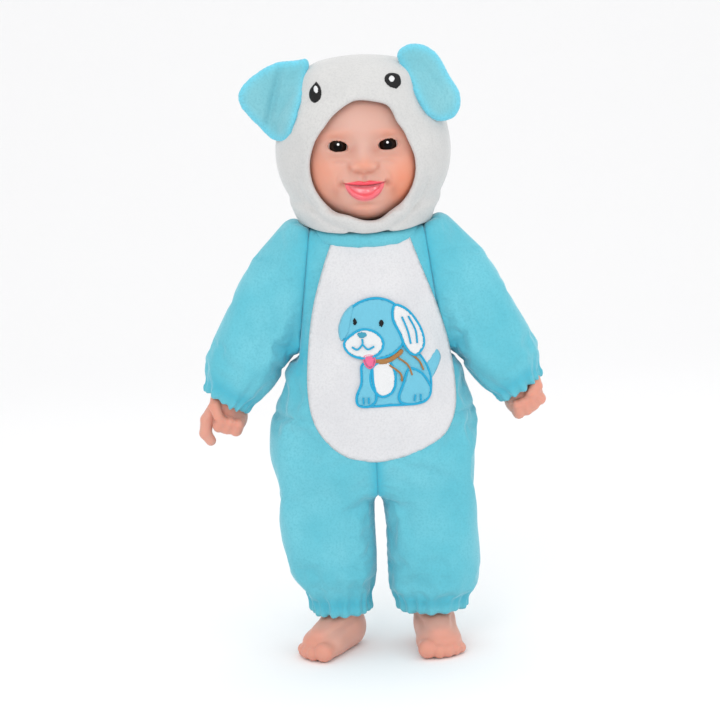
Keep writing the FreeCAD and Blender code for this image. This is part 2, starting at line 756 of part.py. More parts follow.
save("box_front_shell", box_front_shell())
save("box_rear_shell", box_rear_shell())
save("battery_cells", battery_cells())
save("battery_contacts", battery_contacts())
save("circuit_board", circuit_board())
save("speaker_frame", speaker_frame())
save("speaker_cone", speaker_cone())
save("microphone", cyl((MIC_X, 10.2, MIC_Z), (0, 1, 0), 3.0, 4.2))
save("switch_body", switch_body())
save("slide_switch_knob", slide_switch_knob())
save("shaker_motor", shaker_motor())
save("eccentric_weight", eccentric_weight())
save("case_screws", case_screws())
save("battery_door", battery_door())
save("door_screw", door_screw())

save("press_switch_base", press_switch_base())
save("press_switch_spring", press_switch_spring())
save("press_switch_cap", press_switch_cap())
save("switch_wires", switch_wires())

save("neck_stuffing", neck_stuffing())
save("neck_disc", neck_disc())
save("head_shell", head_shell())
save("eye_left", eye(1.0))
save("eye_right", eye(-1.0))
save("neck_tie", neck_tie())
save("hood", hood())
save("hood_eye_left", hood_eye(HOOD_EYE_LEFT[0], HOOD_EYE_LEFT[1]))
save("hood_eye_right", hood_eye(HOOD_EYE_RIGHT[0], HOOD_EYE_RIGHT[1]))
save("ear_left", ear(EAR_LEFT, EAR_LEFT_DEPTH))
save("ear_right", ear(EAR_RIGHT, EAR_RIGHT_DEPTH))

both_sides("sleeve", sleeve())
both_sides("arm_stuffing", arm_stuffing())
both_sides("cuff_elastic", cuff_elastic())
both_sides("wrist_tie", wrist_tie())
save("hand_left", fist())
save("hand_right", mirrored(pointing_hand()))

both_legs("trouser", trouser)
both_legs("leg_stuffing", leg_stuffing)
both_legs("ankle_elastic", ankle_elastic)
both_legs("ankle_tie", ankle_tie)
save("foot_left", place_foot(foot(), 1.0, SPLAY_LEFT, 0.0))
save("foot_right", place_foot(foot(), -1.0, SPLAY_RIGHT, LEAN_RIGHT))
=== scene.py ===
import json
import math

import bpy
import numpy as np
from mathutils import Matrix, Vector
from mathutils.bvhtree import BVHTree
from mathutils.geometry import delaunay_2d_cdt


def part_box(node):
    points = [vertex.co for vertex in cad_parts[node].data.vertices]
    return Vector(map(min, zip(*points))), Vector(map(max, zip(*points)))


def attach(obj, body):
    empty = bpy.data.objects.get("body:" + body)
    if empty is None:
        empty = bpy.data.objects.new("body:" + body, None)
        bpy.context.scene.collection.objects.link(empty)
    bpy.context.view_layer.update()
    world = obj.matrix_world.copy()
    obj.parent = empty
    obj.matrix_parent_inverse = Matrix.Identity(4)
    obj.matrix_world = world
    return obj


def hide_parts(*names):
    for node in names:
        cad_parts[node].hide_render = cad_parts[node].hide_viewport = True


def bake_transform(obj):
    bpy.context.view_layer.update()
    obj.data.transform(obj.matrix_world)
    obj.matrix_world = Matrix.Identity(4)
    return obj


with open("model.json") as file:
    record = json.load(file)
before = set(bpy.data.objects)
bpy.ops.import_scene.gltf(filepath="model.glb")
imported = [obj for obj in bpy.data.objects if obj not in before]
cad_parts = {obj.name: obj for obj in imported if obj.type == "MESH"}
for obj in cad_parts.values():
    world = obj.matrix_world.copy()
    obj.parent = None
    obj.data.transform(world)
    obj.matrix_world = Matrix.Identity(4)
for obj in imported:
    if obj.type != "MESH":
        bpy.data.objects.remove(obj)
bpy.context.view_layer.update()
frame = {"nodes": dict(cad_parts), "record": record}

MM = 0.001
JOINT = {j["name"]: j for j in frame["record"]["behaviour"]["joints"]}


def place(name):
    return np.array(JOINT[name]["pos_m"]) / MM


def cad_box(node):
    return [np.array(corner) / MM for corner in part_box(node)]


NECK = place("head_turn")
SHOULDER = place("shoulder_left")
ANKLE = {"left": place("ankle_left_turn")[0], "right": -place("ankle_right_turn")[0]}
MID_Y = NECK[1]
HOOD_TOP_TO_HEAD = 73.0
HEAD = np.array([0.0, MID_Y, cad_box("hood")[1][2] - HOOD_TOP_TO_HEAD])
ARM_DOWN = np.array(JOINT["wrist_left_turn"]["axis"])
ARM_OUT = np.array([-ARM_DOWN[2], 0.0, ARM_DOWN[0]])


# ------------------------------------------------------------ implicit shapes
def soft_min(a, b, k):
    h = np.clip(0.5 + 0.5 * (b - a) / k, 0.0, 1.0)
    return b * (1.0 - h) + a * h - k * h * (1.0 - h)


def soft_max(a, b, k):
    return -soft_min(-a, -b, k)


def bump(u, v, u0, v0, su, sv):
    return np.exp(-((u - u0) / su) ** 2 - ((v - v0) / sv) ** 2)


def bumps(table, u, v):
    """Sum of bumps, each a row (height, u, v, half width, half height)."""
    return sum(row[0] * bump(u, v, *row[1:]) for row in table)


def ring_faces(rings, sides, closed=True, start=0):
    """Four-sided faces between rings of points that follow one another."""
    faces = []
    for i in range(rings if closed else rings - 1):
        a, b = start + i * sides, start + (i + 1) % rings * sides
        for k in range(sides):
            m = (k + 1) % sides
            faces.append((a + k, b + k, b + m, a + m))
    return faces


def egg(p, centre, radii):
    q = [(p[i] - centre[i]) / radii[i] for i in range(3)]
    k0 = np.sqrt(q[0] ** 2 + q[1] ** 2 + q[2] ** 2) + 1e-6
    k1 = np.sqrt(sum((q[i] / radii[i]) ** 2 for i in range(3))) + 1e-9
    return k0 * (k0 - 1.0) / k1


def capsule(p, a, b, ra, rb):
    ab = np.array(b, float) - np.array(a, float)
    t = sum((p[i] - a[i]) * ab[i] for i in range(3)) / float(ab @ ab)
    t = np.clip(t, 0.0, 1.0)
    d2 = sum((p[i] - a[i] - t * ab[i]) ** 2 for i in range(3))
    return np.sqrt(d2) - (ra + t * (rb - ra))


def smooth_table(rows, spread):
    """Rows (key, value...) made into smooth functions of the key."""
    rows = np.array(sorted(rows), float)
    fine = np.arange(rows[0, 0] - 30.0, rows[-1, 0] + 30.0, 0.5)
    width = int(spread / 0.5)
    kernel = np.exp(-0.5 * (np.arange(-3 * width, 3 * width + 1) / width) ** 2)
    kernel /= kernel.sum()
    out = []
    for column in rows.T[1:]:
        values = np.interp(fine, rows[:, 0], column)
        values = np.pad(values, 3 * width, mode="edge")
        out.append(np.convolve(values, kernel, mode="valid"))
    return lambda key: [np.interp(key, fine, v) for v in out]


def column(p, table, low, high, round_end):
    """A stack of ovals along Z: the table gives centre x, centre y, half width, half depth."""
    cx, cy, rx, ry = table(p[2])
    r = np.sqrt(((p[0] - cx) / rx) ** 2 + ((p[1] - cy) / ry) ** 2) + 1e-6
    side = (r - 1.0) * np.minimum(rx, ry)
    ends = np.maximum(p[2] - high, low - p[2])
    return soft_max(side, ends, round_end)


# ----------------------------------------------------------- mesh from a field
def surface_net(field, low, high, step):
    low = np.array(low, float)
    count = np.ceil((np.array(high, float) - low) / step).astype(int) + 1
    axes = [low[i] + step * np.arange(count[i]) for i in range(3)]
    values = field(np.meshgrid(*axes, indexing="ij"))
    cells = tuple(count - 1)
    total = np.zeros(cells + (3,))
    hits = np.zeros(cells)
    faces = []
    edges = []
    for axis in range(3):
        u, v = (axis + 1) % 3, (axis + 2) % 3
        lower = [slice(None)] * 3
        upper = [slice(None)] * 3
        lower[axis] = slice(0, -1)
        upper[axis] = slice(1, None)
        a, b = values[tuple(lower)], values[tuple(upper)]
        cross = (a < 0) != (b < 0)
        t = np.where(cross, a / np.where(cross, a - b, 1.0), 0.0)
        for du in (0, 1):
            for dv in (0, 1):
                part = [slice(None)] * 3
                part[u] = slice(du, du + cells[u])
                part[v] = slice(dv, dv + cells[v])
                hit = cross[tuple(part)]
                total[..., axis] += t[tuple(part)]
                total[..., u] += hit * du
                total[..., v] += hit * dv
                hits += hit
        edges.append((axis, u, v, cross, a < 0))
    active = hits > 0
    number = np.full(cells, -1)
    number[active] = np.arange(active.sum())
    index = np.argwhere(active)
    verts = low + step * (index + total[active] / hits[active][:, None])
    for axis, u, v, cross, inside in edges:
        base = np.argwhere(cross)
        ok = (base[:, u] > 0) & (base[:, v] > 0)
        ok &= (base[:, u] < cells[u]) & (base[:, v] < cells[v])
        base = base[ok]
        quad = []
        for du, dv in ((-1, -1), (0, -1), (0, 0), (-1, 0)):
            cell = base.copy()
            cell[:, u] += du
            cell[:, v] += dv
            quad.append(number[tuple(cell.T)])
        quad = np.stack(quad, 1)
        flip = ~inside[tuple(base.T)]
        quad[flip] = quad[flip][:, ::-1]
        faces.append(quad)
    return verts, np.concatenate(faces)


def relaxed(verts, faces, rounds=1):
    a = faces.ravel()
    b = np.roll(faces, -1, axis=1).ravel()
    for _ in range(rounds):
        total = np.zeros_like(verts)
        count = np.zeros(len(verts))
        for i, j in ((a, b), (b, a)):
            np.add.at(total, i, verts[j])
            np.add.at(count, i, 1)
        verts = 0.5 * verts + 0.5 * total / np.maximum(count, 1)[:, None]
    return verts


def slope(field, verts, eps=0.2):
    grad = []
    for i in range(3):
        ahead = verts.copy()
        behind = verts.copy()
        ahead[:, i] += eps
        behind[:, i] -= eps
        grad.append((field(list(ahead.T)) - field(list(behind.T))) / (2 * eps))
    return np.stack(grad, 1)


def settled(field, verts, rounds, step):
    for _ in range(rounds):
        value = field(list(verts.T))
        grad = slope(field, verts)
        move = grad * (value / ((grad ** 2).sum(1) + 1e-4))[:, None]
        size = np.linalg.norm(move, axis=1, keepdims=True)
        verts = verts - move * np.minimum(1.0, step / np.maximum(size, 1e-9))
    return verts


def sculpt(field, low, high, step, rounds=2):
    verts, faces = surface_net(field, low, high, step)
    for _ in range(rounds):
        verts = relaxed(verts, faces)
        verts = settled(field, verts, 2, 0.7 * step)
    return verts, faces


def piece(name, verts, faces, material, body=None, smooth=True):
    mesh = bpy.data.meshes.new(name)
    mesh.from_pydata((np.asarray(verts) * MM).tolist(), [],
                     [list(map(int, f)) for f in faces])
    mesh.validate()
    mesh.materials.append(material)
    mesh.polygons.foreach_set("use_smooth", [smooth] * len(mesh.polygons))
    obj = bpy.data.objects.new(name, mesh)
    bpy.context.scene.collection.objects.link(obj)
    if body:
        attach(obj, body)
    return obj


def paint(obj, name, values):
    layer = obj.data.attributes.new(name, "FLOAT", "POINT")
    layer.data.foreach_set("value", np.asarray(values, np.float32))


# ------------------------------------------------------------------ materials
class Nodes:
    """A short way to write a material's node tree."""

    def __init__(self, name):
        self.mat = bpy.data.materials.new(name)
        self.mat.use_nodes = True
        self.tree = self.mat.node_tree
        self.shader = self.tree.nodes["Principled BSDF"]

    def add(self, kind, **settings):
        node = self.tree.nodes.new(kind)
        for key, value in settings.items():
            if key in node.inputs:
                node.inputs[key].default_value = value
            else:
                setattr(node, key, value)
        return node

    def link(self, a, b):
        self.tree.links.new(a, b)

    def set(self, **settings):
        for key, value in settings.items():
            self.shader.inputs[key.replace("_", " ")].default_value = value

    def noise(self, scale, detail=2.0, rough=0.5, stretch=(1, 1, 1)):
        where = self.add("ShaderNodeTexCoord")
        turn = self.add("ShaderNodeMapping")
        turn.inputs["Scale"].default_value = stretch
        self.link(where.outputs["Object"], turn.inputs["Vector"])
        tex = self.add("ShaderNodeTexNoise")
        tex.inputs["Scale"].default_value = scale
        tex.inputs["Detail"].default_value = detail
        tex.inputs["Roughness"].default_value = rough
        self.link(turn.outputs["Vector"], tex.inputs["Vector"])
        return tex.outputs["Fac"]

    def ramp(self, value, stops):
        node = self.add("ShaderNodeValToRGB")
        ramp = node.color_ramp
        while len(ramp.elements) < len(stops):
            ramp.elements.new(0.5)
        for element, (at, colour) in zip(ramp.elements, stops):
            element.position = at
            element.color = (*colour, 1.0)
        self.link(value, node.inputs["Fac"])
        return node.outputs["Color"]

    def attribute(self, name):
        return self.add("ShaderNodeAttribute", attribute_name=name).outputs["Fac"]

    def mix(self, fac, a, b):
        node = self.add("ShaderNodeMix", data_type="RGBA")
        for value, socket in ((fac, node.inputs[0]), (a, node.inputs[6]),
                              (b, node.inputs[7])):
            if isinstance(value, tuple):
                socket.default_value = (*value, 1.0)
            else:
                self.link(value, socket)
        return node.outputs[2]

    def math(self, kind, a, b=None, c=None):
        node = self.add("ShaderNodeMath", operation=kind)
        for i, value in enumerate((a, b, c)):
            if value is None:
                continue
            if isinstance(value, (int, float)):
                node.inputs[i].default_value = value
            else:
                self.link(value, node.inputs[i])
        return node.outputs[0]

    def step(self, value, width):
        node = self.add("ShaderNodeMath", operation="MULTIPLY_ADD", use_clamp=True)
        self.link(value, node.inputs[0])
        node.inputs[1].default_value = 1.0 / width
        node.inputs[2].default_value = 0.5
        return node.outputs[0]

    def both(self, *values):
        total = values[0]
        for value in values[1:]:
            total = self.math("MULTIPLY", total, value)
        return total

    def bump(self, height, strength, distance):
        node = self.add("ShaderNodeBump")
        node.inputs["Strength"].default_value = strength
        node.inputs["Distance"].default_value = distance
        self.link(height, node.inputs["Height"])
        if self.shader.inputs["Normal"].is_linked:
            last = self.shader.inputs["Normal"].links[0].from_socket
            self.link(last, node.inputs["Normal"])
        self.link(node.outputs["Normal"], self.shader.inputs["Normal"])

    def colour(self, socket):
        self.link(socket, self.shader.inputs["Base Color"])


def plush(name, light, deep, sheen, rim=None, fold=None):
    m = Nodes(name)
    broad = m.noise(22.0, 3.0, 0.55)
    pile = m.noise(620.0, 3.0, 0.62)
    fine = m.noise(2100.0, 2.0, 0.6)
    shade = m.mix(m.ramp(broad, [(0.36, (0, 0, 0)), (0.66, (1, 1, 1))]), deep, light)
    if rim:
        shade = m.mix(m.attribute("rim"), shade, rim)
    if fold:
        # painted shade: a deeper cyan in the folds at seams, hems and armpits
        shade = m.mix(m.math("MULTIPLY", m.attribute("fold"), 0.75), shade, fold)
    dark = tuple(0.86 * c for c in deep)
    soft_pile = m.ramp(pile, [(0.30, (0.55, 0.55, 0.55)), (0.56, (0, 0, 0))])
    m.colour(m.mix(soft_pile, shade, dark))
    m.set(Roughness=0.95, Sheen_Weight=0.6, Sheen_Roughness=0.4,
          Specular_IOR_Level=0.12)
    m.shader.inputs["Sheen Tint"].default_value = (*sheen, 1.0)
    m.bump(pile, 0.30, 0.0007)
    m.bump(fine, 0.30, 0.0004)
    return m.mat


def vinyl_skin(name, painted=True):
    m = Nodes(name)
    mottling = m.noise(38.0, 3.0, 0.5)
    base = m.mix(mottling, (0.62, 0.345, 0.275), (0.67, 0.395, 0.325))
    if painted:
        # the mouth is painted from its distances to the lips' edges
        # rosy paint, and painted shade as extra orange on one cheek
        base = m.mix(m.attribute("blush_and_shade"), base, (0.78, 0.24, 0.12))
        # painted shade: darker skin in the creases round the eyes, nose and mouth
        base = m.mix(m.attribute("shade"), base, (0.48, 0.16, 0.10))
        side = m.step(m.attribute("mouth_side"), 2.4)
        line = m.attribute("mouth_line")
        upper = m.both(m.step(m.attribute("upper_lip"), 1.0), m.step(line, 0.5), side)
        below = m.step(m.math("MULTIPLY", line, -1.0), 0.5)
        lower = m.both(m.step(m.attribute("lower_lip"), 1.8), below, side)
        inner = m.both(m.step(m.attribute("inner_lip"), 1.6), below, side)
        base = m.mix(upper, base, (0.80, 0.050, 0.085))
        base = m.mix(m.math("MULTIPLY", lower, 0.9), base, (0.83, 0.085, 0.13))
        base = m.mix(m.math("MULTIPLY", inner, 0.85), base, (0.84, 0.21, 0.24))
        off_line = m.math("ABSOLUTE", m.math("ADD", line, 0.1))
        dark = m.both(m.step(m.math("SUBTRACT", 0.55, off_line), 0.5), side)
        base = m.mix(m.math("MULTIPLY", dark, 0.85), base, (0.36, 0.012, 0.025))
        gloss = m.math("MAXIMUM", upper, lower)
        rough = m.math("MULTIPLY_ADD", gloss, -0.28, 0.46)
        m.link(rough, m.shader.inputs["Roughness"])
        m.link(m.math("MULTIPLY", gloss, 0.9), m.shader.inputs["Coat Weight"])
        m.set(Coat_Roughness=0.08)
    else:
        base = m.mix(m.attribute("blush_and_shade"), base, (0.74, 0.24, 0.15))
        m.set(Roughness=0.46)
    m.colour(base)
    m.set(Subsurface_Weight=0.25, Subsurface_Scale=0.004, Specular_IOR_Level=0.4)
    m.shader.inputs["Subsurface Radius"].default_value = (1.0, 0.35, 0.2)
    m.bump(m.noise(900.0, 2.0, 0.5), 0.06, 0.0003)
    return m.mat


def plain(name, colour, rough, metal=0.0, grain=0.08, scale=300.0, spread=0.12):
    m = Nodes(name)
    value = m.noise(scale, 2.0)
    low = tuple(c * (1.0 - spread) for c in colour)
    high = tuple(min(1.0, c * (1.0 + spread)) for c in colour)
    m.colour(m.mix(value, low, high))
    m.set(Roughness=rough, Metallic=metal)
    m.bump(value, grain, 0.0003)
    return m.mat


# the fold colour is painted shade for the folds of the suit
BLUE_PLUSH = plush("blue_plush", (0.165, 0.535, 0.635), (0.120, 0.485, 0.59), (0.75, 0.95, 1.0),
                   fold=(0.035, 0.42, 0.575))
WHITE_PLUSH = plush("white_plush", (0.70, 0.70, 0.715), (0.655, 0.655, 0.675), (1, 1, 1))
HOOD_PLUSH = plush("hood_plush", (0.625, 0.62, 0.61), (0.575, 0.575, 0.57), (1, 1, 1))
SKIN = vinyl_skin("vinyl_skin")
LIMB_SKIN = vinyl_skin("limb_vinyl", painted=False)
EAR_PLUSH = plush("ear_plush", (0.23, 0.535, 0.60), (0.17, 0.48, 0.56), (0.8, 0.95, 1.0),
                  rim=(0.15, 0.62, 0.80))


def thread(name, colour, rough=0.45, sheen=0.2):
    m = Nodes(name)
    strands = m.noise(900.0, 1.0, 0.5, (1.0, 1.0, 6.0))
    low = tuple(c * 0.72 for c in colour)
    m.colour(m.mix(strands, low, colour))
    m.set(Roughness=rough, Sheen_Weight=sheen, Specular_IOR_Level=0.25)
    m.bump(strands, 0.5, 0.0005)
    return m.mat


BLACK_THREAD = thread("black_thread", (0.006, 0.006, 0.007), rough=0.55, sheen=0.0)
WHITE_THREAD = thread("white_thread", (0.86, 0.87, 0.88))
SEAM_THREAD = thread("seam_thread", (0.05, 0.36, 0.52))
CYAN_THREAD = thread("cyan_thread", (0.01, 0.42, 0.70))
SKY_THREAD = thread("sky_thread", (0.17, 0.58, 0.76))
PINK_THREAD = thread("pink_thread", (0.90, 0.16, 0.33))
GOLD_THREAD = thread("gold_thread", (0.42, 0.20, 0.06))


# ------------------------------------------------------------------ vinyl head
# face points, in mm from the head's centre: (side, height)
EYE = (18.8, 1.5)
EYE_HALF = (7.4, 3.9)
EYEBALL_R = 8.6
NOSE_Z = -12.4
MOUTH_Z = -28.3
MOUTH_HALF = 15.8
HEAD_RADII = (56.5, 56.5, 61.5)


def mouth_line(x):
    return MOUTH_Z + 2.4 * (x / MOUTH_HALF) ** 2


def upper_lip_edge(x):
    s = np.clip(np.abs(x) / MOUTH_HALF, 0.0, 1.0)
    peak = 4.1 * (1.0 - s ** 1.5) - 1.2 * np.exp(-(x / 2.4) ** 2)
    return mouth_line(x) + peak


def lower_lip_edge(x):
    s = np.clip(np.abs(x) / (MOUTH_HALF - 1.0), 0.0, 1.0)
    return mouth_line(x) - 11.6 * np.sqrt(np.clip(1.0 - s ** 2.2, 0.0, 1.0))


def inner_lip_edge(x):
    s = np.clip(np.abs(x) / (MOUTH_HALF - 4.0), 0.0, 1.0)
    return mouth_line(x) - 5.6 * np.sqrt(np.clip(1.0 - s ** 2, 0.0, 1.0))


# swellings and hollows: (height, side, up, half width, half height), on both sides
FACE_FORMS = [
    (6.5, 25.0, -24.0, 15.0, 15.0),                             # cheek
    (3.0, 33.0, -12.0, 12.0, 14.0),                             # cheekbone
    (8.5, 0.0, -46.0, 15.0, 10.0),                              # chin
    (4.0, 0.0, -33.0, 24.0, 14.0),                              # round the mouth
    (2.0, 0.0, 24.0, 26.0, 16.0),                               # forehead
    (-5.0, EYE[0] - 1.0, EYE[1] + 0.5, 10.5, 7.5),              # eye socket
    (-1.6, 8.0, EYE[1] - 2.0, 4.0, 6.0),                        # inner corner
    (1.8, EYE[0], EYE[1] + 10.0, 12.0, 4.0),                    # brow
    (1.6, EYE[0] - 1.0, EYE[1] - 8.8, 9.5, 3.2),                # lower lid
    (-0.9, EYE[0] - 2.0, EYE[1] - 12.2, 9.0, 1.6),              # crease under the lid
    (1.0, 0.0, -3.0, 8.5, 9.0),                                 # bridge of the nose
    (8.8, 0.0, NOSE_Z - 0.8, 8.4, 6.6),                         # tip of the nose
    (3.9, 8.6, NOSE_Z - 2.4, 3.8, 3.9),                         # wing of the nose
    (-1.5, 3.6, NOSE_Z - 5.6, 1.7, 1.2),                        # nostril
    (-1.0, 12.2, NOSE_Z - 3.5, 1.8, 4.0),                       # beside the wing
    (-0.9, 0.0, -22.3, 1.6, 2.6),                               # groove above the lip
    (0.7, 2.8, -22.6, 1.3, 2.8),                                # its edges
    (-2.4, MOUTH_HALF + 1.2, MOUTH_Z + 1.6, 2.4, 2.8),          # corner of the mouth
    (1.6, MOUTH_HALF + 5.6, MOUTH_Z - 0.5, 3.4, 6.0),           # beside the corner
    (-1.8, 0.0, -43.2, 8.0, 1.9),                               # under the lower lip
]
# rosy paint, and painted shade in the creases and hollows of the face, in the same form
BLUSH = [
    (0.35, 30.0, -31.0, 15.0, 15.0), (0.25, 27.0, -14.0, 14.0, 10.0),
    (0.34, EYE[0] + 1.0, EYE[1] + 8.0, 11.0, 4.5), (0.30, 0.0, -47.0, 12.0, 9.0),
    (0.25, 37.0, -6.0, 9.0, 30.0), (0.45, 0.0, NOSE_Z - 1.0, 8.5, 6.5),
]
SHADE = [
    (0.40, EYE[0] - 9.0, EYE[1] - 3.5, 4.5, 4.0),
    (0.50, MOUTH_HALF + 1.2, MOUTH_Z + 1.2, 2.0, 2.4),
    (0.45, 3.7, NOSE_Z - 6.2, 2.2, 1.2), (0.30, MOUTH_HALF + 6.0, MOUTH_Z - 4.0, 2.6, 5.5),
    (0.30, 0.0, MOUTH_Z - 13.4, 9.0, 1.6), (0.22, EYE[0] - 1.0, EYE[1] - 8.6, 9.0, 2.0),
]


def face_relief(x, z):
    """How far the face stands out of the plain egg, in mm."""
    ax = np.abs(x)
    d = bumps(FACE_FORMS, ax, z)
    line = mouth_line(x)
    span = np.clip(1.0 - (ax / MOUTH_HALF) ** 2, 0.0, 1.0)
    upper = 0.5 * (line + upper_lip_edge(x))
    d += 3.0 * np.sqrt(span) * np.exp(-((z - upper) / 1.9) ** 2)
    low_mid = 0.5 * (lower_lip_edge(x) + inner_lip_edge(x))
    d += 4.4 * np.sqrt(span) * np.exp(-((z - low_mid) / 2.9) ** 2)
    d -= 2.2 * np.sqrt(span) * np.exp(-((z - line + 0.5) / 0.8) ** 2)
    d += 1.7 * np.exp(-(x / 6.0) ** 2 - ((z - MOUTH_Z + 3.6) / 2.0) ** 2)
    fold = 15.6 + 4.4 * np.sin(np.clip((NOSE_Z - 3.0 - z) / 16.0, 0.0, 1.0) * 2.2)
    along = np.exp(-((z + 24.5) / 6.5) ** 2)
    d -= 1.0 * along * np.exp(-((ax - fold) / 1.7) ** 2)
    return d


def eye_hole(x, z):
    """Below 0 inside the almond opening of an eye."""
    u = (np.abs(x) - EYE[0]) / EYE_HALF[0]
    lift = 0.5 * u
    v = (z - EYE[1] - lift) / EYE_HALF[1]
    lid = np.where(v > 0, np.abs(v) ** 1.9, np.abs(v) ** 2.2)
    return (np.abs(u) ** 2.3 + lid) - 1.0


EYE_Y = -43.2


def head_field(p):
    x, z = p[0], p[2] - HEAD[2]
    y = p[1] - HEAD[1]
    base = egg([x, y, z], (0, 0, 0), HEAD_RADII)
    front = np.clip((-y - 14.0) / 22.0, 0.0, 1.0)
    front = front * front * (3.0 - 2.0 * front)
    d = base - face_relief(x, z) * front
    hole = eye_hole(x, z) * 4.2
    rim = np.exp(-((hole - 0.7) / 1.5) ** 2) * 1.35 * front
    d = d - rim
    pit = soft_max(hole, y + 30.0, 0.6)
    carved = soft_max(d, -pit, 0.7)
    neck = capsule([x, y, z], (0, 0, -70.0), (0, 0, -45.0), 23.0, 23.0)
    return soft_min(carved, soft_max(neck, -(z + 61.5), 2.0), 5.0)


def head_piece():
    low = HEAD - np.array([61.0, 66.0, 64.0])
    high = HEAD + np.array([61.0, 61.0, 64.0])
    verts, faces = sculpt(head_field, low, high, 1.15)
    obj = piece("head", verts, faces, SKIN, "head")
    x, z = verts[:, 0], verts[:, 2] - HEAD[2]
    front = (verts[:, 1] < MID_Y - 20.0).astype(float)
    ax = np.abs(x)

    paint(obj, "mouth_side", np.where(front > 0, MOUTH_HALF - ax, -9.0))
    paint(obj, "mouth_line", z - mouth_line(x))
    paint(obj, "upper_lip", upper_lip_edge(x) - z)
    paint(obj, "lower_lip", z - lower_lip_edge(x))
    paint(obj, "inner_lip", z - inner_lip_edge(x))
    # rosy paint on both sides, and painted shade: an extra orange bump on the +x cheek only
    blush_and_shade = bumps(BLUSH, ax, z) + 0.45 * bump(x, z, 29.0, -33.0, 12.0, 15.0)
    paint(obj, "blush_and_shade", np.clip(blush_and_shade, 0, 0.75) * front)
    # painted shade under the nose and round the eye openings
    button = np.hypot(x / 11.2, (z - NOSE_Z - 0.5) / 7.6)
    under = np.clip((NOSE_Z + 2.5 - z) / 4.0, 0.0, 1.0)
    shade = bumps(SHADE, ax, z) + 0.42 * under * np.exp(-((button - 1.0) / 0.13) ** 2)
    shade += 0.35 * np.exp(-((eye_hole(x, z) * 4.2 - 0.2) / 0.9) ** 2)
    paint(obj, "shade", np.clip(shade, 0, 0.6) * front)
    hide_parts("head_shell")


def eye_material():
    m = Nodes("doll_eye")
    ring = m.attribute("ring")
    fleck = m.noise(1400.0, 3.0)
    iris = m.mix(fleck, (0.008, 0.004, 0.003), (0.022, 0.010, 0.006))
    iris = m.mix(m.ramp(ring, [(0.40, (1, 1, 1)), (0.46, (0, 0, 0))]), iris,
                 (0.003, 0.002, 0.002))
    iris = m.mix(m.ramp(ring, [(0.88, (0, 0, 0)), (0.94, (1, 1, 1))]), iris,
                 (0.006, 0.003, 0.002))
    white = m.ramp(ring, [(0.985, (0, 0, 0)), (1.0, (1, 1, 1))])
    iris = m.mix(white, iris, (0.72, 0.66, 0.64))
    m.colour(m.mix(m.step(m.attribute("glint"), 0.35), iris, (0.95, 0.95, 0.95)))
    m.set(Roughness=0.10, Specular_IOR_Level=0.07)
    return m.mat


def eyeball(side, material):
    rows, cols = 60, 48
    centre = HEAD + np.array([side * EYE[0], EYE_Y, EYE[1]])
    verts, ring = [centre + np.array([0, -EYEBALL_R, 0])], [0.0]
    glint = [-0.6]
    for i in range(1, rows + 1):
        a = math.pi * 0.62 * i / rows
        for j in range(cols):
            b = 2 * math.pi * j / cols
            d = np.array([math.sin(a) * math.cos(b), -math.cos(a),
                          math.sin(a) * math.sin(b)])
            bulge = 0.35 * math.exp(-(a / 0.62) ** 4)
            verts.append(centre + d * (EYEBALL_R + bulge))
            ring.append(a / 0.86)
            away = math.hypot(d[0] * EYEBALL_R + side * 0.3, d[2] * EYEBALL_R - 1.5)
            glint.append(0.85 - away)
    faces = []
    for j in range(cols):
        k = (j + 1) % cols
        faces.append((0, 1 + j, 1 + k))
    faces.extend(ring_faces(rows, cols, closed=False, start=1))
    side_name = "left" if side > 0 else "right"
    obj = piece("eyeball_" + side_name, verts, faces, material, "head")
    paint(obj, "ring", ring)
    paint(obj, "glint", glint)
    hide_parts("eye_" + side_name)


# ------------------------------------------------------------------------ hood
# the face opening: (side, height) from the head's centre
FACE_OUTLINE = [(-4.5, 35.0), (-16.0, 28.5), (-28.0, 16.0), (-38.0, 0.0), (-40.0, -19.0),
                (-35.0, -34.0), (-24.0, -46.5), (-14.0, -50.5), (-3.0, -55.5), (8.0, -54.5),
                (22.0, -47.0), (35.0, -31.0), (38.5, -12.0), (34.0, 3.0), (25.5, 18.0),
                (20.0, 30.5), (9.0, 33.5)]


def outline_distance(x, z, outline):
    """Signed distance to a closed outline, below 0 inside, by its radius at each angle."""
    pts = np.array(outline, float)
    mid = np.array([0.0, 0.5 * (pts[:, 1].max() + pts[:, 1].min())])
    ang = np.arctan2(pts[:, 1] - mid[1], pts[:, 0] - mid[0])
    rad = np.hypot(pts[:, 0] - mid[0], pts[:, 1] - mid[1])
    order = np.argsort(ang)
    ang, rad = ang[order], rad[order]
    fine = np.linspace(-math.pi, math.pi, 721)
    value = np.interp(fine, np.r_[ang - 2 * math.pi, ang, ang + 2 * math.pi], np.r_[rad, rad, rad])
    kernel = np.exp(-0.5 * (np.arange(-30, 31) / 6.0) ** 2)
    kernel /= kernel.sum()
    value = np.convolve(np.r_[value[-31:-1], value, value[1:31]], kernel, mode="valid")
    here = np.arctan2(z - mid[1], x - mid[0])
    return np.hypot(x - mid[0], z - mid[1]) - np.interp(here, fine, value)


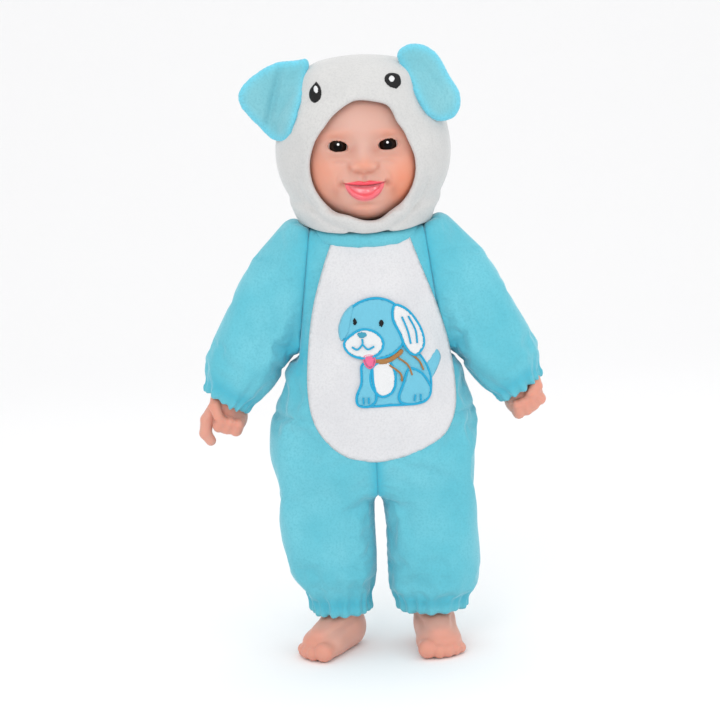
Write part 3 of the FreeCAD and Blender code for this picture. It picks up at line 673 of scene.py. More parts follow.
def hood_field(p):
    x, y, z = p[0], p[1] - HEAD[1], p[2] - HEAD[2]
    outer = egg([x, y, z - 0.5], (0, 0, 0), (67.0, 66.0, 72.5))
    crown = 4.2 * bump(np.abs(x), z, 37.0, 58.0, 17.0, 15.0) - 2.2 * bump(x, z, 0.0, 72.0, 26.0, 12.0)
    cheek = 2.0 * bump(np.abs(x), z, 60.0, -14.0, 20.0, 26.0)
    outer = outer - crown - cheek
    hem = -58.0 + 9.0 * np.clip(y / 46.0, -1.0, 0.3)
    skirt = soft_max(np.sqrt(x ** 2 + (1.08 * y) ** 2) - (49.5 + 0.4 * (z + 62.0)),
                     np.abs(z - hem - 8.0) - 8.0, 4.0)
    outer = soft_min(outer, skirt, 9.0)
    outer = soft_max(outer, hem - z, 3.0)
    hole = outline_distance(x, z, FACE_OUTLINE)
    front = y + 18.0
    opening = soft_max(hole, front, 3.0)
    low_front = np.clip((-z - 14.0) / 16.0, 0.0, 1.0) * np.clip((-y - 10.0) / 12.0, 0.0, 1.0)
    outer = outer + 1.3 * low_front * np.exp(-((hole - 11.0) / 1.8) ** 2)
    outer = outer - 1.1 * low_front * np.exp(-((hole - 6.0) / 3.4) ** 2)
    body = soft_max(outer, 0.6 - head_field(p), 1.2)
    body = soft_max(body, -opening, 4.5)
    throat = soft_max(np.sqrt(x ** 2 + y ** 2) - 34.0, z + 50.0, 3.0)
    body = soft_max(body, -throat, 2.5)
    folds = 0.8 * np.sin(np.arctan2(x, -y) * 9.0 + z * 0.12)
    folds = folds * np.exp(-((z + 52.0) / 9.0) ** 2)
    return body + folds


def hood_piece():
    low = HEAD - np.array([76.0, 72.0, 76.0])
    high = HEAD + np.array([76.0, 72.0, 80.0])
    verts, faces = sculpt(hood_field, low, high, 1.8)
    obj = piece("hood_cover", verts, faces, HOOD_PLUSH, "head")
    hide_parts("hood")
    return obj


# ------------------------------------------------------------------------ suit
# trunk: (height, centre x, centre y, half width, half depth)
TRUNK = smooth_table([
    (342.0, 0.0, MID_Y, 38.0, 33.0), (333.0, 0.0, MID_Y, 42.0, 34.5),
    (318.0, 0.0, MID_Y - 1.0, 50.0, 38.0), (300.0, 0.0, MID_Y - 2.0, 53.0, 42.0),
    (280.0, 0.0, MID_Y - 2.0, 54.0, 45.5), (262.0, 0.0, MID_Y - 2.0, 57.0, 48.0),
    (245.0, 0.0, MID_Y - 2.0, 62.0, 50.0), (225.0, 0.0, MID_Y - 2.0, 69.5, 51.5),
    (205.0, 0.0, MID_Y - 2.0, 75.0, 51.5), (185.0, 0.0, MID_Y - 1.0, 79.0, 49.0),
    (165.0, 0.0, MID_Y, 80.5, 45.0), (145.0, 0.0, MID_Y, 79.0, 38.0),
    (125.0, 0.0, MID_Y, 70.0, 28.0)], 5.0)
# trouser leg, as if both were left legs: (height, centre x, centre y, half width, half depth)
LEG = {
    "left": smooth_table([
        (190.0, 38.0, MID_Y, 38.0, 36.0), (160.0, 39.0, MID_Y, 38.5, 37.0),
        (132.0, 40.5, MID_Y, 38.0, 36.5), (99.0, 41.0, MID_Y, 35.5, 35.5),
        (66.0, 41.5, MID_Y, 36.5, 35.0), (50.0, 41.0, MID_Y, 35.0, 32.0),
        (42.0, 40.5, MID_Y, 31.5, 28.0), (37.0, 40.0, MID_Y, 28.0, 26.0),
        (30.0, 40.0, MID_Y, 30.0, 28.0)], 2.5),
    "right": smooth_table([
        (190.0, 38.0, MID_Y, 38.0, 36.0), (160.0, 41.0, MID_Y, 39.0, 37.0),
        (139.0, 41.5, MID_Y, 39.0, 36.5), (106.0, 41.0, MID_Y, 37.5, 36.0),
        (77.0, 39.5, MID_Y, 36.5, 35.0), (62.0, 37.5, MID_Y, 33.5, 32.0),
        (50.0, 35.5, MID_Y, 28.5, 28.0), (42.0, 34.5, MID_Y, 24.5, 25.0),
        (38.0, 34.0, MID_Y, 23.5, 24.0), (31.0, 33.5, MID_Y, 26.0, 26.0)], 2.5),
}
BOX_LOW, BOX_HIGH = cad_box("box_rear_shell")
POCKET_HALF_W = BOX_HIGH[0] + 0.8
POCKET_MID_Z = 0.5 * (BOX_LOW[2] + BOX_HIGH[2])
POCKET_HALF_H = 0.5 * (BOX_HIGH[2] - BOX_LOW[2]) + 0.8
RAGLAN_TOP = np.array([45.0, 336.0])
RAGLAN_LOW = np.array([57.0, 243.0])


def raglan_plane(x, z):
    """Above 0 on the sleeve side of the raglan seam."""
    along = RAGLAN_LOW - RAGLAN_TOP
    along = along / np.linalg.norm(along)
    return -(x - RAGLAN_TOP[0]) * along[1] + (z - RAGLAN_TOP[1]) * along[0]


def pleats(angle, depth, count, phase):
    wave = np.sin(angle * count + phase + 1.3 * np.sin(angle * 3.0 + phase))
    wave = wave + 0.4 * np.sin(angle * (count * 0.5) + 2.0 * phase)
    return depth * wave


def sleeve_tube(p, side):
    out, depth, down = arm_frame(p)
    tube = column([out, depth, down], SLEEVE, -22.0, 132.0, 8.0)
    angle = np.arctan2(depth, out)
    phase = 1.9 if side == "left" else 0.2
    at_hem = np.exp(-((down - 128.0) / 8.0) ** 2)
    above = np.exp(-((down - 113.0) / 14.0) ** 2)
    return tube + pleats(angle, 1.4, 15, phase) * at_hem + pleats(angle, 0.9, 9, phase) * above


def chest(p, side):
    """Trunk and sleeve as one smooth body, above the armpit."""
    trunk = column(p, TRUNK, 128.0, 341.0, 8.0)
    high_trunk = soft_max(trunk, 242.0 - p[2], 10.0)
    return soft_min(high_trunk, sleeve_tube(p, side), 13.0)


def suit_half_field(p, side):
    """One half of the suit's trunk with its trouser leg, as if it were the left one."""
    x, y, z = p
    trunk = column(p, TRUNK, 128.0, 341.0, 8.0)
    leg = column(p, LEG[side], 30.0, 185.0, 5.0)
    angle = np.arctan2(y - MID_Y, x - ANKLE[side])
    phase = 0.7 if side == "left" else 2.3
    at_hem = np.exp(-((z - 37.0) / 8.0) ** 2)
    above = np.exp(-((z - 48.0) / 16.0) ** 2)
    leg = leg + pleats(angle, 1.5, 17, phase) * at_hem
    leg = leg + pleats(angle, 1.0, 10, 2.1 + phase) * above
    inner = np.hypot(x - ANKLE[side], y - MID_Y) - (18.5 + 0.25 * np.maximum(36.0 - z, 0.0))
    leg = soft_max(leg, -soft_max(inner, z - 44.0, 2.0), 1.2)
    body = soft_min(trunk, leg, 11.0)
    body = soft_min(body, soft_max(chest(p, side), 240.0 - z, 4.0), 2.0)
    body = soft_max(body, -0.7 - x, 2.4)
    above_arm = soft_min(raglan_plane(x, z), z - 236.0, 6.0)
    body = soft_max(body, above_arm, 1.5)
    pocket = np.maximum(np.maximum(x - POCKET_HALF_W, 6.0 - y),
                        np.abs(z - POCKET_MID_Z) - POCKET_HALF_H)
    return soft_max(body, -pocket, 1.2)


def arm_frame(p):
    q = [p[i] - SHOULDER[i] for i in range(3)]
    down = sum(q[i] * ARM_DOWN[i] for i in range(3))
    out = sum(q[i] * ARM_OUT[i] for i in range(3))
    return out, q[1], down


# sleeve: (distance down the arm, outward offset, 0, half width, half depth)
SLEEVE = smooth_table([
    (-20.0, 0.0, 0.0, 24.0, 28.0), (0.0, 0.5, 0.0, 26.5, 30.0),
    (23.0, 3.0, 0.0, 29.0, 31.0), (52.0, 4.0, 0.0, 29.3, 31.0),
    (70.0, 2.8, 0.0, 28.6, 30.5), (90.0, 1.0, 0.0, 28.8, 30.0),
    (106.0, 1.8, 0.0, 27.6, 28.5), (116.0, 1.6, 0.0, 25.0, 25.5),
    (122.0, 0.8, 0.0, 21.0, 21.5), (126.0, 0.4, 0.0, 19.6, 20.0),
    (132.0, 0.0, 0.0, 21.5, 21.5)], 1.8)


def sleeve_field(p, side):
    out, depth, down = arm_frame(p)
    inner = np.hypot(out, depth) - (11.8 + 0.45 * np.maximum(down - 123.0, 0.0))
    tube = soft_max(chest(p, side), -soft_max(inner, 118.0 - down, 2.0), 1.2)
    return soft_max(tube, -raglan_plane(p[0], p[2]) - 0.4, 1.5)


def mirrored(verts, faces):
    return verts * np.array([-1.0, 1.0, 1.0]), faces[:, ::-1]


def shaped(side, verts, faces):
    return (verts, faces) if side == "left" else mirrored(verts, faces)


def fill_with_air(held, pressure=3.0, extra_cloth=0.05, cap=4.0, frames=20):
    """Cloth simulation: each closed piece is blown up a little while its held points stay."""
    scene = bpy.context.scene
    for obj, hold in held:
        group = obj.vertex_groups.new(name="hold")
        for i, weight in enumerate(hold):
            if weight > 0.01:
                group.add([i], float(min(weight, 1.0)), "REPLACE")
        cloth = obj.modifiers.new("cloth", "CLOTH")
        cloth.settings.use_pressure = True
        cloth.settings.uniform_pressure_force = pressure
        cloth.settings.effector_weights.gravity = 0.0
        cloth.settings.vertex_group_mass = "hold"
        cloth.settings.shrink_min = -extra_cloth
        cloth.settings.quality = 5
        cloth.settings.bending_stiffness = 1.2
        cloth.settings.tension_stiffness = 12.0
        cloth.settings.compression_stiffness = 12.0
        cloth.settings.air_damping = 2.0
    for frame_number in range(1, frames + 1):
        scene.frame_set(frame_number)
    depsgraph = bpy.context.evaluated_depsgraph_get()
    for obj, hold in held:
        count = len(obj.data.vertices)
        before = np.empty(3 * count, np.float32)
        after = np.empty(3 * count, np.float32)
        obj.data.vertices.foreach_get("co", before)
        obj.evaluated_get(depsgraph).data.vertices.foreach_get("co", after)
        move = (after - before).reshape(-1, 3) / MM
        size = np.linalg.norm(move, axis=1, keepdims=True)
        move *= cap * np.tanh(size / cap) / np.maximum(size, 1e-6)
        obj.modifiers.remove(obj.modifiers["cloth"])
        obj.vertex_groups.clear()
        result = before.reshape(-1, 3) + move * MM
        obj.data.vertices.foreach_set("co", result.ravel())
        obj.data.update()
    scene.frame_set(1)


def subdivided(obj):
    obj.modifiers.new("smooth", "SUBSURF").levels = 1
    depsgraph = bpy.context.evaluated_depsgraph_get()
    mesh = bpy.data.meshes.new_from_object(obj.evaluated_get(depsgraph))
    obj.modifiers.clear()
    obj.data = mesh


def coordinates(obj):
    co = np.empty(3 * len(obj.data.vertices), np.float32)
    obj.data.vertices.foreach_get("co", co)
    return co.reshape(-1, 3).astype(float) / MM


def near(value, width):
    """1 where value is below 0, falling to 0 over width."""
    return np.clip(1.0 - value / width, 0.0, 1.0)


def suit_half(side, step):
    """The cloth of one half of the suit, and how firmly each point of it is held."""
    v, f = sculpt(lambda p: suit_half_field(p, side), (-4.0, -62.0, 26.0),
                  (90.0, 60.0, 348.0), step)
    x, y, z = v.T
    across = raglan_plane(x, z)
    hold = np.maximum(near(x - 2.0, 6.0), near(z - 38.0, 6.0))
    hold = np.maximum(hold, near(334.0 - z, 6.0))
    hold = np.maximum(hold, near(-across - 1.0, 6.0) * (z > 232.0))
    flap = np.maximum(np.maximum(x - 46.0, 20.0 - y), np.abs(z - 225.0) - 44.0)
    hold = np.maximum(hold, near(flap, 8.0))
    v, f = shaped(side, v, f)
    under_panel = inside_loop(v[:, [0, 2]], np.array(PANEL)) & (v[:, 1] < 0.0)
    hold[under_panel] = 1.0
    # painted shade along the raglan seam, the centre seam, the ankle hem and the armpit
    fold = np.exp(-np.abs(across) / 5.0) * (z > 236.0) * 0.8
    fold += np.exp(-(x / 5.0) ** 2) * (z < 168.0)
    fold += 0.7 * np.exp(-((z - 41.0) / 6.0) ** 2)
    fold += 0.8 * bump(x, z, 60.0, 240.0, 9.0, 16.0)
    obj = piece("suit_" + side, v, f, BLUE_PLUSH)
    paint(obj, "fold", np.clip(fold, 0, 1))
    return obj, hold


def sleeve_cover(side, step):
    """The cloth of one sleeve, and how firmly each point of it is held."""
    low = SHOULDER + np.array([-22.0, -36.0, -150.0])
    high = SHOULDER + np.array([106.0, 36.0, 36.0])
    v, f = sculpt(lambda p: sleeve_field(p, side), low, high, step)
    down = arm_frame(v.T)[2]
    across = raglan_plane(v[:, 0], v[:, 2])
    hold = np.maximum(near(across - 1.0, 6.0), near(119.0 - down, 6.0))
    # painted shade along the raglan seam, the wrist hem and the armpit
    fold = 0.8 * np.exp(-np.abs(across) / 5.0) + 0.7 * np.exp(-((down - 121.0) / 6.0) ** 2)
    fold += 0.8 * bump(v[:, 0], v[:, 2], 64.0, 240.0, 9.0, 16.0)
    obj = piece("sleeve_cover_" + side, *shaped(side, v, f), BLUE_PLUSH)
    paint(obj, "fold", np.clip(fold, 0, 1))
    return obj, hold


def suit_pieces():
    step = 2.6
    held = []
    for side in ("left", "right"):
        held.append(suit_half(side, step))
        held.append(sleeve_cover(side, step))
    fill_with_air(held)
    pieces = {}
    for obj, _ in held:
        subdivided(obj)
        pieces[obj.name] = obj
    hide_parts("suit_torso", "body_stuffing", "neck_stuffing")
    return pieces


def bend_suit(pieces):
    for side, sign in (("left", 1.0), ("right", -1.0)):
        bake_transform(pieces["suit_" + side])
        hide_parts("trouser_" + side, "leg_stuffing_" + side,
                    "ankle_elastic_" + side, "ankle_tie_" + side)
        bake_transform(pieces["sleeve_cover_" + side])
        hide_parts("sleeve_" + side, "arm_stuffing_" + side,
                    "cuff_elastic_" + side, "wrist_tie_" + side)


# ------------------------------------------------------------- cloth cut flat
def spline_span(p0, p1, p2, p3, spacing):
    """Points of a smooth run from p1 up to p2, without p2."""
    steps = max(2, int(np.linalg.norm(p2 - p1) / spacing))
    t = (np.arange(steps) / steps)[:, None]
    return 0.5 * (2 * p1 + (p2 - p0) * t + (2 * p0 - 5 * p1 + 4 * p2 - p3) * t ** 2
                  + (3 * p1 - p0 - 3 * p2 + p3) * t ** 3)


def closed_curve(points, spacing, sharp=()):
    """Smooth closed line through the points. The corners numbered in sharp stay corners."""
    pts = np.array(points, float)
    n = len(pts)
    out = []
    for i in range(n):
        p0, p1, p2, p3 = pts[i - 1], pts[i], pts[(i + 1) % n], pts[(i + 2) % n]
        if i in sharp:
            p0 = 2 * p1 - p2
        if (i + 1) % n in sharp:
            p3 = 2 * p2 - p1
        out.append(spline_span(p0, p1, p2, p3, spacing))
    return np.concatenate(out)


def open_curve(points, spacing):
    """Smooth line through the points, from the first to the last."""
    pts = np.array(points, float)
    pts = np.concatenate([[2 * pts[0] - pts[1]], pts, [2 * pts[-1] - pts[-2]]])
    out = []
    for p0, p1, p2, p3 in zip(pts, pts[1:], pts[2:], pts[3:]):
        out.append(spline_span(p0, p1, p2, p3, spacing))
    out.append(pts[-2:-1])
    return np.concatenate(out)


def inside_loop(xy, loop):
    x, y = xy.T
    inside = np.zeros(len(xy), bool)
    for (x0, y0), (x1, y1) in zip(loop, np.roll(loop, -1, 0)):
        hit = (y0 > y) != (y1 > y)
        inside ^= hit & (x < (x1 - x0) * (y - y0) / (y1 - y0 + 1e-12) + x0)
    return inside


def loop_distance(xy, loop):
    best = np.full(len(xy), 1e9)
    for a, b in zip(loop, np.roll(loop, -1, 0)):
        d = b - a
        t = np.clip(((xy - a) @ d) / (d @ d), 0.0, 1.0)
        best = np.minimum(best, np.linalg.norm(xy - a - t[:, None] * d, axis=1))
    return best


def filled(loop, spacing):
    """Triangles that fill a closed line, with each point's distance to that line."""
    low, high = loop.min(0), loop.max(0)
    xs = np.arange(low[0], high[0], spacing)
    zs = np.arange(low[1], high[1], spacing * 0.866)
    gx, gz = np.meshgrid(xs, zs, indexing="ij")
    gx = gx + 0.5 * spacing * (np.arange(len(zs)) % 2)
    grid = np.stack([gx.ravel(), gz.ravel()], 1)
    grid = grid[inside_loop(grid, loop)]
    grid = grid[loop_distance(grid, loop) > 0.55 * spacing]
    points = [Vector(q) for q in np.concatenate([loop, grid])]
    edges = [(i, (i + 1) % len(loop)) for i in range(len(loop))]
    verts, _, tris = delaunay_2d_cdt(points, edges, [], 1, 1e-5)[:3]
    flat = np.array([tuple(v) for v in verts])
    return flat, np.array(tris), loop_distance(flat, loop)


def averaged(values, tris, rounds):
    a = tris.ravel()
    b = np.roll(tris, -1, axis=1).ravel()
    for _ in range(rounds):
        total = values.copy()
        count = np.ones(len(values))
        for i, j in ((a, b), (b, a)):
            np.add.at(total, i, values[j])
            np.add.at(count, i, 1)
        values = total / count
    return values


def lens(flat, tris, rim, front, back):
    """Closed shape whose two sheets meet along the rim. Front and back are depths in Y."""
    on_rim = rim < 1e-3
    second = np.where(on_rim, np.arange(len(flat)), 0)
    second[~on_rim] = len(flat) + np.arange((~on_rim).sum())
    verts = np.concatenate([np.stack([flat[:, 0], front, flat[:, 1]], 1),
                            np.stack([flat[:, 0], back, flat[:, 1]], 1)[~on_rim]])
    return verts, np.concatenate([tris, second[tris][:, ::-1]])


class Ground:
    """The surface of some pieces, met from the front."""

    def __init__(self, objects):
        verts, faces = [], []
        for obj in objects:
            base = len(verts)
            verts.extend((coordinates(obj)).tolist())
            faces.extend([[base + i for i in f.vertices] for f in obj.data.polygons])
        self.tree = BVHTree.FromPolygons(verts, faces)

    def depth(self, flat):
        out = np.full(len(flat), np.nan)
        for i, (x, z) in enumerate(flat):
            hit = self.tree.ray_cast(Vector((x, -200.0, z)), Vector((0, 1, 0)))[0]
            if hit:
                out[i] = hit.y
        out[np.isnan(out)] = np.nanmax(out) if np.isfinite(out).any() else 0.0
        return out


def applied(ground, points, spacing, rise, edge, smooth=6, sharp=(), tuck=0.6):
    """A piece of cloth sewn on: it stands rise above the ground inside its edge."""
    loop = closed_curve(points, spacing, sharp)
    flat, tris, rim = filled(loop, spacing)
    depth = ground.depth(flat)
    shallow = np.minimum(depth, averaged(depth, tris, smooth))
    depth = averaged(shallow, tris, 2)
    lift = (rise + tuck) * np.sqrt(1.0 - (1.0 - np.clip(rim / edge, 0, 1)) ** 2) - tuck
    return lens(flat, tris, rim, depth - lift, depth + tuck + 0.8 * np.clip(rim / edge, 0, 1))


def tube(path, radius, flatness=0.7, closed=True, sides=8):
    path = np.asarray(path, float)
    ahead = np.roll(path, -1, 0) - np.roll(path, 1, 0)
    if not closed:
        ahead[0], ahead[-1] = path[1] - path[0], path[-1] - path[-2]
    ahead /= np.linalg.norm(ahead, axis=1, keepdims=True) + 1e-9
    out = np.array([0.0, -1.0, 0.0]) - ahead * (-ahead[:, 1:2])
    out /= np.linalg.norm(out, axis=1, keepdims=True) + 1e-9
    side = np.cross(ahead, out)
    radius = np.broadcast_to(radius, (len(path),))
    verts = []
    for k in range(sides):
        a = 2 * math.pi * k / sides
        verts.append(path + radius[:, None] * (math.cos(a) * side + flatness * math.sin(a) * out))
    verts = np.stack(verts, 1).reshape(-1, 3)
    n = len(path)
    faces = [(a, d, c, b) for a, b, c, d in ring_faces(n, sides, closed)]
    if not closed:
        faces.append(tuple(range(sides))[::-1])
        faces.append(tuple((n - 1) * sides + k for k in range(sides)))
    return verts, faces


class Bag:
    """Gathers small shapes of one material into one piece."""

    def __init__(self, name, material, body, slot):
        self.name, self.material, self.body, self.slot = name, material, body, slot
        self.verts, self.faces = [], []

    def add(self, shape):
        base = len(self.verts)
        self.verts.extend(np.asarray(shape[0]).tolist())
        self.faces.extend([[base + int(i) for i in f] for f in shape[1]])

    def done(self):
        obj = piece(self.name, self.verts, self.faces, self.material, self.body)
        return obj


# the belly panel: (side, height)
PANEL = [(-27.0, 332.0), (-35.0, 311.0), (-44.0, 281.0), (-49.0, 250.0), (-51.0, 219.0),
         (-48.0, 195.0), (-39.0, 178.0), (-24.0, 165.0), (-5.0, 160.0), (12.0, 161.0),
         (34.0, 167.0), (53.0, 178.0), (62.0, 194.0), (64.0, 214.0), (61.0, 245.0),
         (53.0, 276.0), (43.0, 304.0), (33.0, 332.0)]


def belly(pieces):
    ground = Ground([pieces["suit_left"], pieces["suit_right"]])
    shape = applied(ground, PANEL, 2.2, 1.3, 4.0, smooth=14,
                    sharp=(0, 17), tuck=1.2)
    obj = piece("belly_panel_cloth", *shape, WHITE_PLUSH, "torso")
    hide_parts("belly_panel")
    return obj


def oval(x, z, rx, rz, turn=0.0, count=10):
    out = []
    for i in range(count):
        a = 2 * math.pi * i / count
        u, v = rx * math.cos(a), rz * math.sin(a)
        c, s = math.cos(turn), math.sin(turn)
        out.append((x + c * u - s * v, z + s * u + c * v))
    return out


# the embroidered puppy: (x, height) outlines, each with how high it stands
PUPPY_SHAPES = [
    ("sky", 0.8, [(40, 220), (47, 226), (53, 238), (50, 245), (45, 240), (37, 230)]),
    ("sky", 0.9, [(8, 250), (24, 252), (37, 242), (44, 226), (42, 211), (28, 206), (12, 206),
                  (-5, 206), (-11, 211), (-9, 222), (-6, 238)]),
    ("white", 1.5, [(2, 238), (12, 240), (17, 230), (15, 217), (6, 213), (-1, 220), (-2, 230)]),
    ("sky", 1.6, [(28, 233), (38, 228), (44, 216), (39, 207), (24, 206), (19, 211), (23, 222)]),
    ("sky", 1.7, [(-8, 238), (-1, 238), (0, 224), (2, 212), (-3, 206), (-12, 207), (-13, 214),
                  (-9, 224)]),
    ("sky", 2.0, [(3, 288), (17, 284), (26, 272), (26, 257), (17, 246), (2, 242), (-12, 246),
                  (-20, 257), (-20, 271), (-12, 283)]),
    ("white", 2.6, [(-15, 261), (-6, 265), (4, 262), (9, 254), (5, 246), (-5, 243), (-16, 246),
                    (-21, 254)]),
    ("white", 2.8, [(19, 282), (29, 277), (38, 263), (40, 250), (33, 243), (26, 249),
                    (22, 260), (17, 272)]),
    ("sky", 2.8, [(-12, 284), (-20, 278), (-25, 266), (-23, 256), (-17, 262), (-14, 273)]),
    ("pink", 2.9, [(-6, 245), (1, 245), (2, 239), (-2, 235), (-6, 239)]),
    ("gold", 2.3, [(1, 243), (12, 243), (22, 249), (24, 245), (13, 238), (3, 238)]),
    ("deep", 3.3, oval(-7, 261, 4.6, 3.2)),
    ("black", 3.0, oval(8, 269, 2.6, 3.6)),
    ("black", 3.0, oval(-12, 271, 2.3, 3.3)),
    ("white", 3.6, oval(8.8, 270.6, 0.9, 1.1, count=6)),
    ("white", 3.6, oval(-11.3, 272.4, 0.8, 1.0, count=6)),
]
PUPPY_LINES = [
    ("cyan", [(-7, 258), (-7, 254), (-11, 250), (-15, 252)], 3.4),
    ("cyan", [(-7, 254), (-3, 250), (2, 252)], 3.4),
    ("cyan", [(-8, 213), (-8, 208)], 2.6), ("cyan", [(-4, 213), (-4, 208)], 2.6),
    ("cyan", [(32, 213), (31, 208)], 2.5), ("cyan", [(36, 213), (36, 208)], 2.5),
    ("gold", [(20, 242), (27, 236), (30, 228)], 1.8),
    ("gold", [(13, 237), (21, 230), (22, 224)], 1.8),
    ("gold", [(30, 244), (36, 238), (39, 231)], 1.8),
    ("cyan", [(29, 273), (34, 262), (35, 252)], 3.5),
    ("cyan", [(24, 273), (28, 262), (30, 252)], 3.5),
]


def puppy(panel):
    ground = Ground([panel])
    colours = {"sky": SKY_THREAD, "white": WHITE_THREAD, "pink": PINK_THREAD,
               "gold": GOLD_THREAD, "deep": SEAM_THREAD, "black": BLACK_THREAD,
               "cyan": CYAN_THREAD}
    bags = {k: Bag("puppy_" + k, m, "torso", "embroidery") for k, m in colours.items()}
    step = 1.1
    for colour, rise, points in PUPPY_SHAPES:
        bags[colour].add(applied(ground, points, step, rise, 1.2, smooth=3))
        if colour in ("black", "deep") or len(points) == 6:
            continue
        loop = closed_curve(points, 0.9)
        depth = ground.depth(loop)
        edge = "cyan" if colour in ("sky", "white") else colour
        path = np.stack([loop[:, 0], depth - rise * 0.8, loop[:, 1]], 1)
        path = averaged_line(path)
        bags[edge].add(tube(path, 1.05 if edge == "cyan" else 0.5))
    for colour, points, rise in PUPPY_LINES:
        line = open_curve(points, 0.8)
        path = np.stack([line[:, 0], ground.depth(line) - rise, line[:, 1]], 1)
        bags[colour].add(tube(path, 0.75, closed=False))
    made = [bag.done() for bag in bags.values()]
    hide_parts("puppy_applique")


def averaged_line(path, rounds=3):
    for _ in range(rounds):
        path = (np.roll(path, 1, 0) + 2 * path + np.roll(path, -1, 0)) / 4
    return path


# outlines of the hood's eyes and of the light spot in each: (side, height)
HOOD_EYES = {
    "right": [(-33.0, 452.5), (-29.5, 448.0), (-29.0, 442.0), (-31.5, 437.5), (-35.5, 436.5),
              (-38.5, 440.5), (-38.0, 446.5)],
    "left": [(24.0, 456.5), (29.5, 454.5), (30.5, 448.0), (27.0, 444.0), (21.5, 446.0),
             (18.0, 450.5), (19.5, 455.0)],
}
HOOD_SPARKS = {
    "right": oval(-33.2, 446.5, 2.2, 3.3, 0.1), "left": oval(23.6, 451.8, 2.7, 2.7),
}


def hood_eyes(hood):
    ground = Ground([hood])
    for side, points in HOOD_EYES.items():
        step = 0.8
        sharp = (0,) if side == "right" else (3,)
        shape = applied(ground, points, step, 0.9, 1.3, smooth=3, sharp=sharp, tuck=0.3)
        obj = piece("hood_eye_patch_" + side, *shape, BLACK_THREAD, "head")
        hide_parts("hood_eye_" + side)
        shape = applied(ground, HOOD_SPARKS[side], step, 1.3, 0.8, smooth=3, tuck=0.3)
        spark = piece("hood_eye_spark_" + side, *shape, WHITE_THREAD, "head")


# ears: outline (side, height), half thickness, width of the rounded edge
EARS = {
    "left": ([(28.0, 470.0), (38.0, 478.5), (51.0, 476.5), (61.0, 468.0), (68.0, 454.0),
              (75.0, 442.0), (75.5, 430.0), (70.0, 422.0), (59.0, 419.5), (51.0, 423.0),
              (43.0, 433.0), (37.0, 448.0)], 7.0, 12.0),
    "right": ([(-38.0, 469.0), (-50.0, 470.0), (-63.0, 469.0), (-77.0, 463.0), (-89.0, 453.5),
               (-93.5, 444.0), (-90.0, 434.0), (-79.0, 421.0), (-71.0, 412.0), (-61.5, 409.5),
               (-54.0, 413.0), (-48.0, 427.0), (-43.0, 442.0)], 6.5, 12.0),
}


def ear_pieces():
    held = []
    for side, (points, half, soft) in EARS.items():
        low, high = cad_box("ear_" + side)
        middle = 0.5 * (low[1] + high[1])
        loop = closed_curve(points, 3.0)
        flat, tris, rim = filled(loop, 2.4)
        thick = half * np.sqrt(1.0 - (1.0 - np.clip(rim / soft, 0, 1)) ** 2)
        x, z = np.abs(flat[:, 0]), flat[:, 1]
        across = 1.0 - (x / 68.0) ** 2 - ((z - HEAD[2]) / 74.0) ** 2
        hood_front = MID_Y - 67.0 * np.sqrt(np.clip(across, 0.0, 1.0))
        middle = soft_min(hood_front - 3.0 + 2.0 * (thick < 1.0), middle + 0.0 * x, 8.0)
        middle = averaged(middle, tris, 8)
        if side == "right":
            fold = ((x - 61.0) * 34.0 + (z - 460.0) * 10.0) / math.hypot(34.0, 10.0)
            tip = np.clip(fold, 0.0, None)
            middle = middle - 4.0 * np.clip(tip / 25.0, 0, 1) ** 1.5
            crease = 3.4 * np.exp(-(fold / 2.6) ** 2) * np.clip((rim - 2.0) / 6.0, 0, 1)
            pinch = 3.5 * bump(x, z, 66.0, 419.0, 3.5, 5.0)
            front = middle - thick + crease + pinch
            back = middle + thick - 0.6 * crease
        else:
            droop = np.clip((470.0 - z) / 50.0, 0.0, 1.0)
            middle = middle - 3.0 * droop ** 2
            front, back = middle - thick, middle + thick
        verts, faces = lens(flat, tris, rim, front, back)
        obj = piece("ear_cover_" + side, verts, faces, EAR_PLUSH)
        rims = np.concatenate([rim, rim[rim >= 1e-3]])
        paint(obj, "rim", np.exp(-(rims / 4.5) ** 2))
        root = 1.0 - np.clip((np.abs(verts[:, 0]) - (36.0 if side == "left" else 46.0)) / 8.0, 0, 1)
        held.append((obj, np.maximum(root, 0.0)))
        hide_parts("ear_" + side)
    fill_with_air(held, pressure=2.0, extra_cloth=0.03, cap=1.6, frames=14)
    for obj, _ in held:
        subdivided(obj)
    return {"left": held[0][0], "right": held[1][0]}


def bend_ears(ears):
    """Each ear's placement is baked into its mesh."""
    for side, near_x, far_x in (("left", 30.0, 52.0), ("right", -42.0, -62.0)):
        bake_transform(ears[side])


def collar():
    rings, sides = 120, 20
    verts = []
    for i in range(rings):
        a = 2 * math.pi * i / rings
        tilt = 7.0 * min(0.3, max(-1.0, math.sin(a)))
        puff = 0.5 * math.sin(17 * a) + 0.35 * math.sin(29 * a + 1.0)
        for k in range(sides):
            b = 2 * math.pi * k / sides
            out = (4.4 + 0.3 * puff) * math.cos(b)
            up = (5.6 + 0.4 * puff) * math.sin(b)
            verts.append(((43.5 + out) * math.cos(a), MID_Y + (37.0 + out) * math.sin(a),
                          338.5 + tilt + up))
    obj = piece("collar_cloth", verts, ring_faces(rings, sides), BLUE_PLUSH, "torso")
    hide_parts("collar_band", "neck_disc", "neck_tie")


FLAP_LOW, FLAP_HIGH = cad_box("back_flap")


def flap_field(p):
    x, y, z = p
    trunk = column(p, TRUNK, 100.0, 360.0, 8.0)
    sheet = np.abs(trunk - 2.6) - 1.3
    mid = 0.5 * (FLAP_LOW + FLAP_HIGH)
    half = 0.5 * (FLAP_HIGH - FLAP_LOW)
    u, v = np.abs(x - mid[0]) - (half[0] - 5.0), np.abs(z - mid[2]) - (half[2] - 5.0)
    edge = np.hypot(np.maximum(u, 0), np.maximum(v, 0)) + np.minimum(np.maximum(u, v), 0) - 5.0
    stitch = 0.5 * np.exp(-((edge + 4.5) / 0.9) ** 2)
    return soft_max(soft_max(sheet + stitch, edge, 1.6), 8.0 - y, 1.0)


